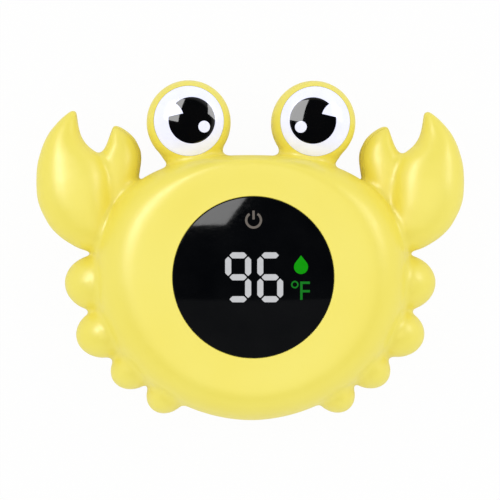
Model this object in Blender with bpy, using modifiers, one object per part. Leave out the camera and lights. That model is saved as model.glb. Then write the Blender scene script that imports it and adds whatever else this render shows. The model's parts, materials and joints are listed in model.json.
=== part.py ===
# Bath thermometer in the shape of a crab: a welded two-part float with a round display.
# It lies on the flat of its back. X runs across the crab, Y runs up to its eyes and Z comes
# out of the display. All sizes are in metres.
import math

import bmesh
import bpy
from mathutils import Euler, Matrix, Vector

# Clearances and walls
FIT = 0.0003
MARK_FIT = 0.0001
WALL = 0.0020
SEAM_Z = 0.0150

# Softness of the creases between the lobes of the form, and the grid that carries it
CREASE_SOFTNESS = 0.00075
FORM_GRID = 0.0007
FORM_FACETS = 3800
HOLLOW_GRID = 0.0012
HOLLOW_FACETS = 900
FLAT_ANGLE = 0.0005

# Body: squarer above its centre than below
BODY_CENTRE_Y = -0.0085
BODY_HALF_WIDTH = 0.0438
BODY_ABOVE = 0.0353
BODY_BELOW = 0.0395
BODY_ABOVE_POWER = 2.5
BODY_BELOW_POWER = 1.92
BODY_FRONT_RISE = 0.0165
SHOULDER_POWER = 2.1
BACK_FLAT_INSET = 0.0120
BACK_TRIM = 0.0002
CREST_RADIUS = 0.0310
DISH_DEPTH = 0.0006
OUTLINE_STEPS = 96

# Claws, thumbs and eye stalks: x, y and radius along the right one
CLAW_SPINE = (
    (0.0369, 0.0041, 0.0032),
    (0.0434, 0.0074, 0.0081),
    (0.0477, 0.0149, 0.0118),
    (0.0514, 0.0226, 0.0085),
    (0.0523, 0.0293, 0.0056),
    (0.0510, 0.0344, 0.0031),
    (0.0497, 0.0377, 0.0014),
    (0.0493, 0.0389, 0.0003),
)
CLAW_Z = 0.0145
CLAW_HALF_DEPTH = 0.0100
THUMB_SPINE = (
    (0.0363, 0.0135, 0.0058),
    (0.0367, 0.0195, 0.0053),
    (0.0364, 0.0254, 0.0057),
    (0.0364, 0.0286, 0.0045),
    (0.0371, 0.0318, 0.0029),
    (0.0379, 0.0339, 0.0014),
    (0.0383, 0.0350, 0.0004),
)
THUMB_Z = 0.0138
THUMB_HALF_DEPTH = 0.0064
STALK_SPINE = (
    (0.0158, 0.0325, 0.0083),
    (0.0164, 0.0232, 0.0077),
    (0.0180, 0.0191, 0.0082),
    (0.0185, 0.0120, 0.0082),
)
STALK_Z = 0.0140
STALK_HALF_DEPTH = 0.0080
TUBE_FULLNESS = 0.75

# Legs: x, y, half length, half width and turn in degrees of the right ones
LEGS = (
    (0.0427, -0.0093, 0.0095, 0.0080, 0.0),
    (0.0407, -0.0233, 0.0084, 0.0070, -10.3),
    (0.0323, -0.0326, 0.0076, 0.0060, -35.5),
    (0.0233, -0.0398, 0.0067, 0.0055, -48.0),
)
LEG_Z = 0.0135
LEG_HALF_DEPTH = 0.0080

# Eyes
EYE_X = 0.0175
EYE_Y = 0.0359
EYE_Z = 0.0140
EYE_RING_RADIUS = 0.0118
EYE_HALF_DEPTH = 0.0110
EYE_POWER = 3.0
EYE_WHITE_RADIUS = 0.00965
EYE_WHITE_SET = 0.0002
EYE_WHITE_EDGE = 0.0020
EYE_WHITE_RISE = 0.0038
PUPIL_RADIUS = 0.0064
PUPIL_INWARD = 0.0008
PUPIL_FLOOR_RISE = 0.0008
GLINT_RADIUS = 0.0016
GLINT_INWARD = 0.0034
GLINT_BELOW = 0.0018
GLINT_FLOOR_RISE = 0.0020

# Display lens and what seats it
SCREEN_Y = -0.0075
LENS_RADIUS = 0.0227
LENS_SET = 0.0001
LENS_EDGE = 0.0017
LENS_RISE = 0.0014
LENS_EDGE_ROUND = 0.0006
GASKET_WIDTH = 0.0019
GASKET_THICKNESS = 0.0005
LEDGE_WIDTH = 0.0026
SEAT_DEPTH = 0.0020

# Lit marks in the lens
MARK_SINK = 0.00005
PLATE_THICKNESS = 0.0010
PLATE_BORDER = 0.0004
DIGIT_WIDTH = 0.0072
DIGIT_HEIGHT = 0.01395
DIGIT_STROKE = 0.0019
DIGIT_JOINT = 0.00035
DIGIT_Y = -0.0077
TENS_X = -0.0043
UNITS_X = 0.0047
DROP_X = 0.0134
DROP_Y = -0.0045
DROP_RADIUS = 0.0019
DROP_HEIGHT = 0.0051
UNIT_X = 0.0120
UNIT_Y = -0.0098
DEGREE_RADIUS = 0.0010
DEGREE_HOLE = 0.0005
DEGREE_HOLE_DEPTH = 0.0004
LETTER_X = 0.0140
LETTER_TOP_Y = -0.0090
LETTER_HEIGHT = 0.0051
LETTER_WIDTH = 0.0027
LETTER_STROKE = 0.0006
LETTER_ARM_DROP = 0.0023
POWER_Y = 0.0082
POWER_RADIUS = 0.0021
POWER_STROKE = 0.0006
POWER_GAP_DEGREES = 33.0
POWER_BAR_HEIGHT = 0.0024

# Board, reflector, spring and screws
REFLECTOR_RADIUS = 0.0198
REFLECTOR_HEIGHT = 0.0086
WELL_BORDER = 0.0003
BOARD_RADIUS = 0.0272
BOARD_THICKNESS = 0.0016
POST_RADIUS = 0.0025
POST_CIRCLE = 0.0246
POST_ANGLES = (45, 135, 225, 315)
SCREW_RADIUS = 0.0009
SCREW_LENGTH = 0.0060
SCREW_HEAD_RADIUS = 0.0018
SCREW_HEAD_HEIGHT = 0.0012
SPRING_RADIUS = 0.0022
SPRING_WIRE_RADIUS = 0.00025
SPRING_TURNS = 4
WELL_WALL = 0.0006

# Charging seat in the back
CHARGE_Y = 0.0045
CHARGE_RADIUS = 0.0068
CHARGE_DEPTH = 0.0012
CHARGE_BOSS_WALL = 0.0018
CONTACT_RADIUS = 0.0015
CONTACT_SPACING = 0.0050
CONTACT_SINK = 0.0001
CONTACT_COLLAR_RADIUS = 0.0021
CONTACT_COLLAR_HEIGHT = 0.0011
HOLDER_LENGTH = 0.0110
HOLDER_WIDTH = 0.0044
HOLDER_THICKNESS = 0.0010
MAGNET_RADIUS = 0.0020
MAGNET_HEIGHT = 0.0020
MAGNET_OFFSET = 0.0042
MAGNET_SKIN = 0.0008

# Battery and its tray
BATTERY_LENGTH = 0.0340
BATTERY_WIDTH = 0.0180
BATTERY_HEIGHT = 0.0060
BATTERY_ROUND = 0.0012
PAD_THICKNESS = 0.0008
TRAY_WALL = 0.0012
TRAY_HEIGHT = 0.0030

# Temperature sensor
SENSOR_RADIUS = 0.0036
SENSOR_WALL = 0.0005
SENSOR_SET = 0.0003
SENSOR_FLANGE_WIDTH = 0.0014
SENSOR_FLANGE_THICKNESS = 0.0006
SENSOR_SEAL_RADIUS = 0.00035
THERMISTOR_RADIUS = 0.0012
THERMISTOR_HEIGHT = 0.0020

# Facets of round pieces
FINE_STEPS = 40
ROUND_STEPS = 20
SMALL_STEPS = 12

# Heights and places that follow from the sizes
FACE_Z = SEAM_Z + BODY_FRONT_RISE - DISH_DEPTH
LENS_EDGE_Z = FACE_Z - LENS_SET
LENS_BACK_Z = LENS_EDGE_Z - LENS_EDGE
GASKET_TOP_Z = LENS_BACK_Z - FIT
LEDGE_Z = GASKET_TOP_Z - GASKET_THICKNESS - FIT
LENS_HOLE_RADIUS = LENS_RADIUS + FIT
SCREEN_HOLE_RADIUS = LENS_HOLE_RADIUS - LEDGE_WIDTH
PLATE_TOP_Z = LENS_BACK_Z - FIT
PLATE_BACK_Z = PLATE_TOP_Z - PLATE_THICKNESS
REFLECTOR_TOP_Z = PLATE_BACK_Z - FIT
REFLECTOR_BACK_Z = REFLECTOR_TOP_Z - REFLECTOR_HEIGHT
BOARD_TOP_Z = REFLECTOR_BACK_Z - FIT
BOARD_BACK_Z = BOARD_TOP_Z - BOARD_THICKNESS
SCREW_TOP_Z = BOARD_BACK_Z - FIT + SCREW_LENGTH
EYE_HOLE_RADIUS = EYE_WHITE_RADIUS + FIT
EYE_LIP_SHARE = (1.0 - (EYE_HOLE_RADIUS / EYE_RING_RADIUS) ** EYE_POWER) ** (1.0 / EYE_POWER)
EYE_EDGE_Z = EYE_Z + EYE_HALF_DEPTH * EYE_LIP_SHARE - EYE_WHITE_SET
EYE_BACK_Z = EYE_EDGE_Z - EYE_WHITE_EDGE
EYE_SEAT_Z = EYE_BACK_Z - FIT
EYE_BALL_RADIUS = (EYE_WHITE_RADIUS**2 + EYE_WHITE_RISE**2) / (2.0 * EYE_WHITE_RISE)
CHARGE_BOSS_RADIUS = CHARGE_RADIUS + CHARGE_BOSS_WALL
CHARGE_BOSS_Z = CHARGE_DEPTH + WALL
TRAY_TOP_Y = CHARGE_Y - CHARGE_BOSS_RADIUS - FIT
BATTERY_Y = TRAY_TOP_Y - TRAY_WALL - FIT - BATTERY_WIDTH / 2.0
TRAY_BELOW_Y = BATTERY_Y - BATTERY_WIDTH / 2.0 - FIT - TRAY_WALL
SENSOR_FLANGE_RADIUS = SENSOR_RADIUS + SENSOR_FLANGE_WIDTH
SENSOR_Y = TRAY_BELOW_Y - FIT - SENSOR_FLANGE_RADIUS
PARTS = "crab_bath_float"
CUTTERS = "cutters"


def clear_scene():
    for item in list(bpy.data.objects):
        bpy.data.objects.remove(item, do_unlink=True)


def make_collection(name):
    collection = bpy.data.collections.new(name)
    bpy.context.scene.collection.children.link(collection)
    return collection


def make_material(name, colour, roughness, metallic=0.0):
    material = bpy.data.materials.new(name)
    material.use_nodes = True
    shader = material.node_tree.nodes["Principled BSDF"]
    shader.inputs["Base Color"].default_value = (*colour, 1.0)
    shader.inputs["Roughness"].default_value = roughness
    shader.inputs["Metallic"].default_value = metallic
    material.diffuse_color = (*colour, 1.0)
    return material


# Puts a mesh or curve in the scene, as a piece or, without a material, as a cutter
def place(name, data, at=(0.0, 0.0, 0.0), material=None):
    item = bpy.data.objects.new(name, data)
    item.location = at
    if material is None:
        bpy.data.collections[CUTTERS].objects.link(item)
        item.hide_render = True
        item.display_type = "WIRE"
    else:
        bpy.data.collections[PARTS].objects.link(item)
        data.materials.append(material)
        item.parent = bpy.data.objects["crab"]
    return item


# The mesh of an object as its modifiers leave it, with a curve's caps welded
def evaluated_mesh(item):
    graph = bpy.context.evaluated_depsgraph_get()
    mesh = bpy.data.meshes.new_from_object(item.evaluated_get(graph))
    form = bmesh.new()
    form.from_mesh(mesh)
    bmesh.ops.remove_doubles(form, verts=form.verts, dist=1e-7)
    form.to_mesh(mesh)
    form.free()
    return mesh


# Replaces an object by its evaluated mesh, in the same place
def as_mesh(item):
    mesh = evaluated_mesh(item)
    name, matrix = item.name, item.matrix_world.copy()
    home = item.users_collection[0]
    hidden, shown_as, parent = item.hide_render, item.display_type, item.parent
    bpy.data.objects.remove(item, do_unlink=True)
    solid = bpy.data.objects.new(name, mesh)
    home.objects.link(solid)
    solid.parent = parent
    solid.matrix_world = matrix
    solid.hide_render = hidden
    solid.display_type = shown_as
    return solid


# Makes one face of facets that lie in one plane, and splits it again into well-shaped ones
def clean(item):
    form = bmesh.new()
    form.from_mesh(item.data)
    bmesh.ops.dissolve_limit(form, angle_limit=FLAT_ANGLE, verts=form.verts, edges=form.edges)
    bmesh.ops.triangulate(form, faces=form.faces)
    form.to_mesh(item.data)
    form.free()
    return item


def smooth(item, degrees=35.0):
    item.data.shade_smooth()
    item.data.set_sharp_from_angle(angle=math.radians(degrees))
    return item


# The two shells are too dense for the exact solver, so they are cut by the manifold one
def combine(target, other, operation, solver="EXACT"):
    modifier = target.modifiers.new(other.name, "BOOLEAN")
    modifier.operation = operation
    modifier.solver = solver
    modifier.object = other
    return target


# A solid turned about its own Z from a profile of (radius, height) points that runs down its
# outer side
def turned(name, profile, at=(0.0, 0.0), steps=ROUND_STEPS, material=None, ring=False):
    mesh = bpy.data.meshes.new(name)
    edges = [(n, n + 1) for n in range(len(profile) - 1)]
    if ring:
        edges.append((len(profile) - 1, 0))
    mesh.from_pydata([(radius, 0.0, height) for radius, height in profile], edges, [])
    item = place(name, mesh, (at[0], at[1], 0.0), material)
    screw = item.modifiers.new("turn", "SCREW")
    screw.steps = steps
    screw.render_steps = steps
    screw.use_merge_vertices = True
    screw.merge_threshold = 1e-6
    screw.use_smooth_shade = True
    return item


def cylinder(name, radius, low, high, at=(0.0, 0.0), steps=ROUND_STEPS, material=None):
    profile = ((0.0, high), (radius, high), (radius, low), (0.0, low))
    return turned(name, profile, at, steps, material)


def box(name, size, centre, material=None):
    form = bmesh.new()
    bmesh.ops.create_cube(form, size=1.0, matrix=Matrix.Diagonal((*size, 1.0)))
    mesh = bpy.data.meshes.new(name)
    form.to_mesh(mesh)
    form.free()
    return place(name, mesh, centre, material)


# Flat outlines filled and raised between two heights; an outline inside another is a hole
def raised(name, outlines, low, high, material=None):
    curve = bpy.data.curves.new(name, "CURVE")
    curve.dimensions = "2D"
    curve.fill_mode = "BOTH"
    curve.extrude = (high - low) / 2.0
    for outline in outlines:
        spline = curve.splines.new("POLY")
        spline.points.add(len(outline) - 1)
        for point, (x, y) in zip(spline.points, outline):
            point.co = (x, y, 0.0, 1.0)
        spline.use_cyclic_u = True
    return as_mesh(place(name, curve, (0.0, 0.0, (low + high) / 2.0), material))


def arc(centre, radius, start, end, steps):
    angles = [math.radians(start + (end - start) * n / steps) for n in range(steps + 1)]
    return [(centre[0] + radius * math.cos(a), centre[1] + radius * math.sin(a)) for a in angles]


def rectangle(centre, width, height):
    x, y = width / 2.0, height / 2.0
    return [(centre[0] + i * x, centre[1] + j * y) for i, j in ((-1, -1), (1, -1), (1, 1), (-1, 1))]


def signed_power(value, power):
    return math.copysign(abs(value) ** power, value)


# The body seen from the front, pulled in by inset
def body_outline(inset):
    points = []
    for n in range(OUTLINE_STEPS):
        angle = 2.0 * math.pi * n / OUTLINE_STEPS
        above = math.sin(angle) >= 0.0
        power = BODY_ABOVE_POWER if above else BODY_BELOW_POWER
        height = (BODY_ABOVE if above else BODY_BELOW) - inset
        x = (BODY_HALF_WIDTH - inset) * signed_power(math.cos(angle), 2.0 / power)
        y = BODY_CENTRE_Y + height * signed_power(math.sin(angle), 2.0 / power)
        points.append(Vector((x, y)))
    return points


# The body, lofted from the flat of the back over the seam to the crest and the dished face
def body_lobe(form, inset):
    seam = body_outline(inset)
    flat = body_outline(inset + BACK_FLAT_INSET)
    screen = Vector((0.0, SCREEN_Y))
    crest = [screen + (point - screen).normalized() * CREST_RADIUS for point in seam]
    back_z = (inset - BACK_TRIM) if inset == 0.0 else -BACK_TRIM
    rings = []
    steps = 9
    for n in range(steps + 1):
        turn = math.radians(90.0 * n / steps)
        spread, drop = math.sin(turn), math.cos(turn)
        height = SEAM_Z - (SEAM_Z - back_z) * drop
        rings.append([(*inner.lerp(outer, spread), height) for inner, outer in zip(flat, seam)])
    for n in range(1, steps + 1):
        turn = math.radians(90.0 * n / steps)
        spread = math.cos(turn) ** (2.0 / SHOULDER_POWER)
        lift = math.sin(turn) ** (2.0 / SHOULDER_POWER)
        height = SEAM_Z + (BODY_FRONT_RISE - inset) * lift
        rings.append([(*inner.lerp(outer, spread), height) for inner, outer in zip(crest, seam)])
    dish_steps = 5
    for n in range(1, dish_steps + 1):
        share = n / dish_steps
        radius = CREST_RADIUS + (LENS_RADIUS - CREST_RADIUS) * share
        sink = DISH_DEPTH * (1.0 - math.cos(math.pi * share)) / 2.0
        height = SEAM_Z + BODY_FRONT_RISE - inset - sink
        rings.append([(*(screen + (p - screen).normalized() * radius), height) for p in crest])
    loops = [[form.verts.new(point) for point in ring] for ring in rings]
    for low, high in zip(loops, loops[1:]):
        for n in range(OUTLINE_STEPS):
            after = (n + 1) % OUTLINE_STEPS
            form.faces.new((low[n], low[after], high[after], high[n]))
    form.faces.new(list(reversed(loops[0])))
    form.faces.new(loops[-1])


# A claw, thumb or stalk: a tube of changing radius, flattened but kept full towards its tip
def tube_lobe(form, spine, height, half_depth, side, inset):
    curve = bpy.data.curves.new("lobe", "CURVE")
    curve.dimensions = "3D"
    curve.bevel_depth = 1.0
    curve.bevel_resolution = 6
    curve.use_fill_caps = True
    spline = curve.splines.new("BEZIER")
    spline.bezier_points.add(len(spine) - 1)
    spline.resolution_u = 8
    curve.resolution_u = 8
    spline.radius_interpolation = "CARDINAL"
    for point, (x, y, radius) in zip(spline.bezier_points, spine):
        point.co = (side * x, y, 0.0)
        point.radius = max(radius - inset, WALL / 10.0)
        point.handle_left_type = "AUTO"
        point.handle_right_type = "AUTO"
    item = place("lobe", curve)
    mesh = evaluated_mesh(item)
    widest = max(radius for _, _, radius in spine) - inset
    for vertex in mesh.vertices:
        share = signed_power(vertex.co.z / widest, TUBE_FULLNESS)
        vertex.co.z = height + (half_depth - inset) * share
    form.from_mesh(mesh)
    bpy.data.objects.remove(item, do_unlink=True)


def leg_lobe(form, leg, side, inset):
    x, y, half_length, half_width, turn = leg
    matrix = (
        Matrix.Translation((side * x, y, LEG_Z))
        @ Euler((0.0, 0.0, math.radians(side * turn))).to_matrix().to_4x4()
        @ Matrix.Diagonal((half_length - inset, half_width - inset, LEG_HALF_DEPTH - inset, 1.0))
    )
    bmesh.ops.create_uvsphere(form, u_segments=32, v_segments=20, radius=1.0, matrix=matrix)


# The barrel behind an eye; its hollow stops below the seat of the white
def eye_lobe(form, side, inset):
    front = EYE_HALF_DEPTH if inset == 0.0 else EYE_SEAT_Z - inset - EYE_Z
    back = EYE_HALF_DEPTH - inset
    profile = []
    steps = 16
    for n in range(steps + 1):
        turn = math.radians(90.0 - 180.0 * n / steps)
        radius = (EYE_RING_RADIUS - inset) * abs(math.cos(turn)) ** (2.0 / EYE_POWER)
        lift = signed_power(math.sin(turn), 2.0 / EYE_POWER)
        profile.append((radius, EYE_Z + lift * (front if lift > 0.0 else back)))
    profile[0] = (0.0, profile[0][1])
    profile[-1] = (0.0, profile[-1][1])
    item = turned("lobe", profile, (side * EYE_X, EYE_Y), FINE_STEPS)
    mesh = evaluated_mesh(item)
    mesh.transform(Matrix.Translation((side * EYE_X, EYE_Y, 0.0)))
    form.from_mesh(mesh)
    bpy.data.objects.remove(item, do_unlink=True)


# The whole crab as one soft form: the lobes are fused, their creases softened and the facets
# thinned out
def crab_form(name, inset, grid, facets):
    form = bmesh.new()
    body_lobe(form, inset)
    for side in (-1, 1):
        tube_lobe(form, CLAW_SPINE, CLAW_Z, CLAW_HALF_DEPTH, side, inset)
        tube_lobe(form, THUMB_SPINE, THUMB_Z, THUMB_HALF_DEPTH, side, inset)
        tube_lobe(form, STALK_SPINE, STALK_Z, STALK_HALF_DEPTH, side, inset)
        eye_lobe(form, side, inset)
        for leg in LEGS:
            leg_lobe(form, leg, side, inset)
    mesh = bpy.data.meshes.new(name)
    form.to_mesh(mesh)
    form.free()
    item = place(name, mesh)
    fuse = item.modifiers.new("fuse", "REMESH")
    fuse.mode = "VOXEL"
    fuse.voxel_size = grid
    soften = item.modifiers.new("soften", "SMOOTH")
    soften.factor = 0.5
    soften.iterations = round((2.0 * CREASE_SOFTNESS / grid) ** 2)
    item.data = evaluated_mesh(item)
    item.modifiers.clear()
    thin = item.modifiers.new("thin", "DECIMATE")
    thin.ratio = facets / (2.0 * len(item.data.polygons))
    thin.use_symmetry = True
    thin.symmetry_axis = "X"
    thin.use_collapse_triangulate = True
    item.data = evaluated_mesh(item)
    item.modifiers.clear()
    return item


def half_space(name, low, high):
    reach = 4.0 * BODY_HALF_WIDTH
    return box(name, (reach, reach, high - low), (0.0, 0.0, (low + high) / 2.0))


def post_places():
    return [
        (POST_CIRCLE * math.cos(math.radians(a)), SCREEN_Y + POST_CIRCLE * math.sin(math.radians(a)))
        for a in POST_ANGLES
    ]


def make_front_shell(form, hollow, plastic):
    shell = place("front_shell", form.data.copy(), material=plastic)
    combine(shell, hollow, "DIFFERENCE", "MANIFOLD")
    top_z = FACE_Z + LENS_RISE + WALL
    combine(shell, half_space("front_half", SEAM_Z + FIT / 2.0, top_z), "INTERSECT", "MANIFOLD")
    screen = (0.0, SCREEN_Y)
    seat_radius = LENS_HOLE_RADIUS + WALL
    seat = cylinder("lens_seat", seat_radius, LEDGE_Z - SEAT_DEPTH, FACE_Z - WALL / 2.0, screen, FINE_STEPS)
    combine(shell, seat, "UNION", "MANIFOLD")
    for n, at in enumerate(post_places()):
        post = cylinder(f"post_{n + 1}", POST_RADIUS, BOARD_TOP_Z + FIT, LEDGE_Z - WALL / 2.0, at)
        combine(shell, post, "UNION", "MANIFOLD")
    combine(shell, cylinder("lens_pocket", LENS_HOLE_RADIUS, LEDGE_Z, top_z, screen, FINE_STEPS), "DIFFERENCE", "MANIFOLD")
    through = cylinder("screen_hole", SCREEN_HOLE_RADIUS, SEAM_Z, FACE_Z, screen, FINE_STEPS)
    combine(shell, through, "DIFFERENCE", "MANIFOLD")
    for n, at in enumerate(post_places()):
        hole = cylinder(f"post_hole_{n + 1}", SCREW_RADIUS + FIT, BOARD_TOP_Z, SCREW_TOP_Z + FIT, at, SMALL_STEPS)
        combine(shell, hole, "DIFFERENCE", "MANIFOLD")
    for side in (-1, 1):
        at = (side * EYE_X, EYE_Y)
        pocket = cylinder(f"eye_pocket_{side + 2}", EYE_HOLE_RADIUS, EYE_SEAT_Z, top_z, at, FINE_STEPS)
        combine(shell, pocket, "DIFFERENCE", "MANIFOLD")
    return smooth(clean(as_mesh(shell)))


def make_rear_shell(form, hollow, plastic):
    shell = place("rear_shell", form.data.copy(), material=plastic)
    combine(shell, hollow, "DIFFERENCE", "MANIFOLD")
    combine(shell, half_space("rear_half", 0.0, SEAM_Z - FIT / 2.0), "INTERSECT", "MANIFOLD")
    charge = (0.0, CHARGE_Y)
    boss = cylinder("charge_boss", CHARGE_BOSS_RADIUS, WALL / 2.0, CHARGE_BOSS_Z, charge, FINE_STEPS)
    combine(shell, boss, "UNION", "MANIFOLD")
    inner = (BATTERY_LENGTH + 2.0 * FIT, BATTERY_WIDTH + 2.0 * FIT)
    outer = (inner[0] + 2.0 * TRAY_WALL, inner[1] + 2.0 * TRAY_WALL)
    centre = (0.0, BATTERY_Y)
    frame = [rectangle(centre, *outer), rectangle(centre, *inner)]
    combine(shell, raised("battery_tray", frame, WALL / 2.0, WALL + TRAY_HEIGHT), "UNION", "MANIFOLD")
    seat = cylinder("charge_seat", CHARGE_RADIUS, -WALL, CHARGE_DEPTH, charge, FINE_STEPS)
    combine(shell, seat, "DIFFERENCE", "MANIFOLD")
    for side in (-1, 1):
        at = (side * CONTACT_SPACING / 2.0, CHARGE_Y)
        hole = cylinder(f"contact_hole_{side + 2}", CONTACT_RADIUS + FIT, 0.0, 2.0 * CHARGE_BOSS_Z, at, SMALL_STEPS)
        combine(shell, hole, "DIFFERENCE", "MANIFOLD")
        at = (0.0, CHARGE_Y + side * MAGNET_OFFSET)
        low = CHARGE_DEPTH + MAGNET_SKIN
        pocket = cylinder(f"magnet_pocket_{side + 2}", MAGNET_RADIUS + FIT, low, 2.0 * CHARGE_BOSS_Z, at, SMALL_STEPS)
        combine(shell, pocket, "DIFFERENCE", "MANIFOLD")
    hole = cylinder("sensor_hole", SENSOR_RADIUS + FIT, -WALL, 2.0 * WALL, (0.0, SENSOR_Y))
    combine(shell, hole, "DIFFERENCE", "MANIFOLD")
    return smooth(clean(as_mesh(shell)))


# The lens from its middle down to its back: a shallow dome with a rounded edge
def lens_profile(radius, sink, back_z):
    points = []
    steps = 5
    flat_radius = radius - LENS_EDGE_ROUND
    for n in range(steps + 1):
        out = flat_radius * n / steps
        points.append((out, LENS_EDGE_Z + LENS_RISE * (1.0 - (out / flat_radius) ** 2) - sink))
    turns = 2
    for n in range(1, turns + 1):
        turn = math.radians(90.0 * n / turns)
        out = flat_radius + LENS_EDGE_ROUND * math.sin(turn)
        points.append((out, LENS_EDGE_Z - LENS_EDGE_ROUND * (1.0 - math.cos(turn)) - sink))
    points += [(radius, back_z), (0.0, back_z)]
    return points


# One bar of a digit: a long hexagon with pointed ends
def bar(centre, length, width, upright, grow):
    reach = length / 2.0 + grow * math.sqrt(2.0)
    half = width / 2.0 + grow
    points = [(-reach, 0.0), (half - reach, -half), (reach - half, -half)]
    points += [(reach, 0.0), (reach - half, half), (half - reach, half)]
    if upright:
        points = [(-y, x) for x, y in points]
    return [(centre[0] + x, centre[1] + y) for x, y in points]


# Bars of a seven-bar digit, named by their usual letters
def digit(x, bars, grow):
    column = (DIGIT_WIDTH - DIGIT_STROKE) / 2.0
    row = (DIGIT_HEIGHT - DIGIT_STROKE) / 2.0
    flat_length = 2.0 * (column - DIGIT_JOINT)
    upright_length = row - 2.0 * DIGIT_JOINT
    places = {
        "a": (0.0, row, False),
        "b": (column, row / 2.0, True),
        "c": (column, -row / 2.0, True),
        "d": (0.0, -row, False),
        "e": (-column, -row / 2.0, True),
        "f": (-column, row / 2.0, True),
        "g": (0.0, 0.0, False),
    }
    outlines = []
    for letter in bars:
        right, up, upright = places[letter]
        length = upright_length if upright else flat_length
        outlines.append(bar((x + right, DIGIT_Y + up), length, DIGIT_STROKE, upright, grow))
    return outlines


def drop(grow):
    radius = DROP_RADIUS + grow
    tip = DROP_HEIGHT - DROP_RADIUS
    half_angle = math.asin(DROP_RADIUS / tip)
    centre_y = DROP_Y - DROP_HEIGHT / 2.0 + DROP_RADIUS
    start = math.degrees(half_angle)
    points = arc((DROP_X, centre_y), radius, 180.0 - start, 360.0 + start, 16)
    points.append((DROP_X, centre_y + tip + grow / math.sin(half_angle)))
    return [points]


def letter(grow):
    left, right = LETTER_X - grow, LETTER_X + LETTER_WIDTH + grow
    stem = LETTER_X + LETTER_STROKE + grow
    top, low = LETTER_TOP_Y + grow, LETTER_TOP_Y - LETTER_HEIGHT - grow
    top_under = LETTER_TOP_Y - LETTER_STROKE - grow
    arm = LETTER_TOP_Y - LETTER_ARM_DROP + grow
    arm_under = LETTER_TOP_Y - LETTER_ARM_DROP - LETTER_STROKE - grow
    return [
        (left, low), (stem, low), (stem, arm_under), (right, arm_under), (right, arm),
        (stem, arm), (stem, top_under), (right, top_under), (right, top), (left, top),
    ]


def unit_sign(grow):
    ring = arc((UNIT_X, UNIT_Y), DEGREE_RADIUS + grow, 0.0, 345.0, 23)
    return [ring, letter(grow)]


def power_sign(grow):
    centre = (0.0, POWER_Y)
    outer = POWER_RADIUS + POWER_STROKE / 2.0 + grow
    inner = POWER_RADIUS - POWER_STROKE / 2.0 - grow
    gap = POWER_GAP_DEGREES - math.degrees(grow / POWER_RADIUS)
    ring = arc(centre, outer, 90.0 + gap, 450.0 - gap, 20) + arc(centre, inner, 450.0 - gap, 90.0 + gap, 20)
    stroke = rectangle((0.0, POWER_Y + POWER_RADIUS - POWER_BAR_HEIGHT / 4.0), POWER_STROKE + 2.0 * grow, POWER_BAR_HEIGHT + 2.0 * grow)
    return [ring, stroke]


# A lit mark: bars that stand on one carrier plate and end flush with the lens
def make_light_guide(name, outlines, plate, dome, material):
    guide = raised(name, [plate], PLATE_BACK_Z, PLATE_TOP_Z, material)
    middle = (PLATE_BACK_Z + PLATE_TOP_Z) / 2.0
    bars = raised(f"{name}_bars", outlines, middle, LENS_EDGE_Z + 2.0 * LENS_RISE)
    combine(guide, bars, "UNION")
    return combine(guide, dome, "INTERSECT")


def make_display(lens_black, white, green, grey):
    lens = turned("display_lens", lens_profile(LENS_RADIUS, 0.0, LENS_BACK_Z), (0.0, SCREEN_Y), FINE_STEPS, lens_black)
    below = LENS_BACK_Z - PLATE_THICKNESS
    above = LENS_EDGE_Z + 2.0 * LENS_RISE
    marks = {
        "tens": digit(TENS_X, "abcdfg", 0.0),
        "units": digit(UNITS_X, "acdefg", 0.0),
        "drop": drop(0.0),
        "unit": unit_sign(0.0),
        "power": power_sign(0.0),
    }
    holes = digit(TENS_X, "abcdfg", MARK_FIT) + digit(UNITS_X, "acdefg", MARK_FIT)
    holes += drop(MARK_FIT) + unit_sign(MARK_FIT) + power_sign(MARK_FIT)
    combine(lens, raised("lens_windows", holes, below, above), "DIFFERENCE")
    dome = turned("mark_dome", lens_profile(LENS_RADIUS, MARK_SINK, PLATE_BACK_Z - FIT), (0.0, SCREEN_Y), FINE_STEPS)
    digit_plate = (DIGIT_WIDTH + 2.0 * PLATE_BORDER, DIGIT_HEIGHT + 2.0 * PLATE_BORDER)
    side_width = 2.0 * (DROP_RADIUS + PLATE_BORDER)
    drop_plate = rectangle((DROP_X, DROP_Y), side_width, DROP_HEIGHT + PLATE_BORDER)
    left = UNIT_X - DEGREE_RADIUS - PLATE_BORDER
    right = LETTER_X + LETTER_WIDTH + PLATE_BORDER
    top, low = UNIT_Y + DEGREE_RADIUS + PLATE_BORDER, LETTER_TOP_Y - LETTER_HEIGHT - PLATE_BORDER
    plates = {
        "tens": rectangle((TENS_X, DIGIT_Y), *digit_plate),
        "units": rectangle((UNITS_X, DIGIT_Y), *digit_plate),
        "drop": drop_plate,
        "unit": rectangle(((left + right) / 2.0, (top + low) / 2.0), right - left, top - low),
        "power": arc((0.0, POWER_Y), POWER_RADIUS + POWER_STROKE / 2.0 + PLATE_BORDER, 0.0, 345.0, 23),
    }
    finish = {"tens": white, "units": white, "drop": green, "unit": green, "power": grey}
    guides = {}
    for mark, outlines in marks.items():
        guides[mark] = make_light_guide(f"{mark}_light_guide", outlines, plates[mark], dome, finish[mark])
    hole_low = LENS_EDGE_Z + LENS_RISE * (1.0 - (UNIT_X**2 + (UNIT_Y - SCREEN_Y) ** 2) / LENS_RADIUS**2) - DEGREE_HOLE_DEPTH
    middle = cylinder("degree_middle", DEGREE_HOLE, hole_low, above, (UNIT_X, UNIT_Y), SMALL_STEPS)
    combine(guides["unit"], middle, "DIFFERENCE")
    return plates


def make_gasket(foam):
    outer = LENS_RADIUS
    inner = outer - GASKET_WIDTH
    low = GASKET_TOP_Z - GASKET_THICKNESS
    profile = ((outer, GASKET_TOP_Z), (outer, low), (inner, low), (inner, GASKET_TOP_Z))
    turned("lens_gasket", profile, (0.0, SCREEN_Y), FINE_STEPS, foam, ring=True)


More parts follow.
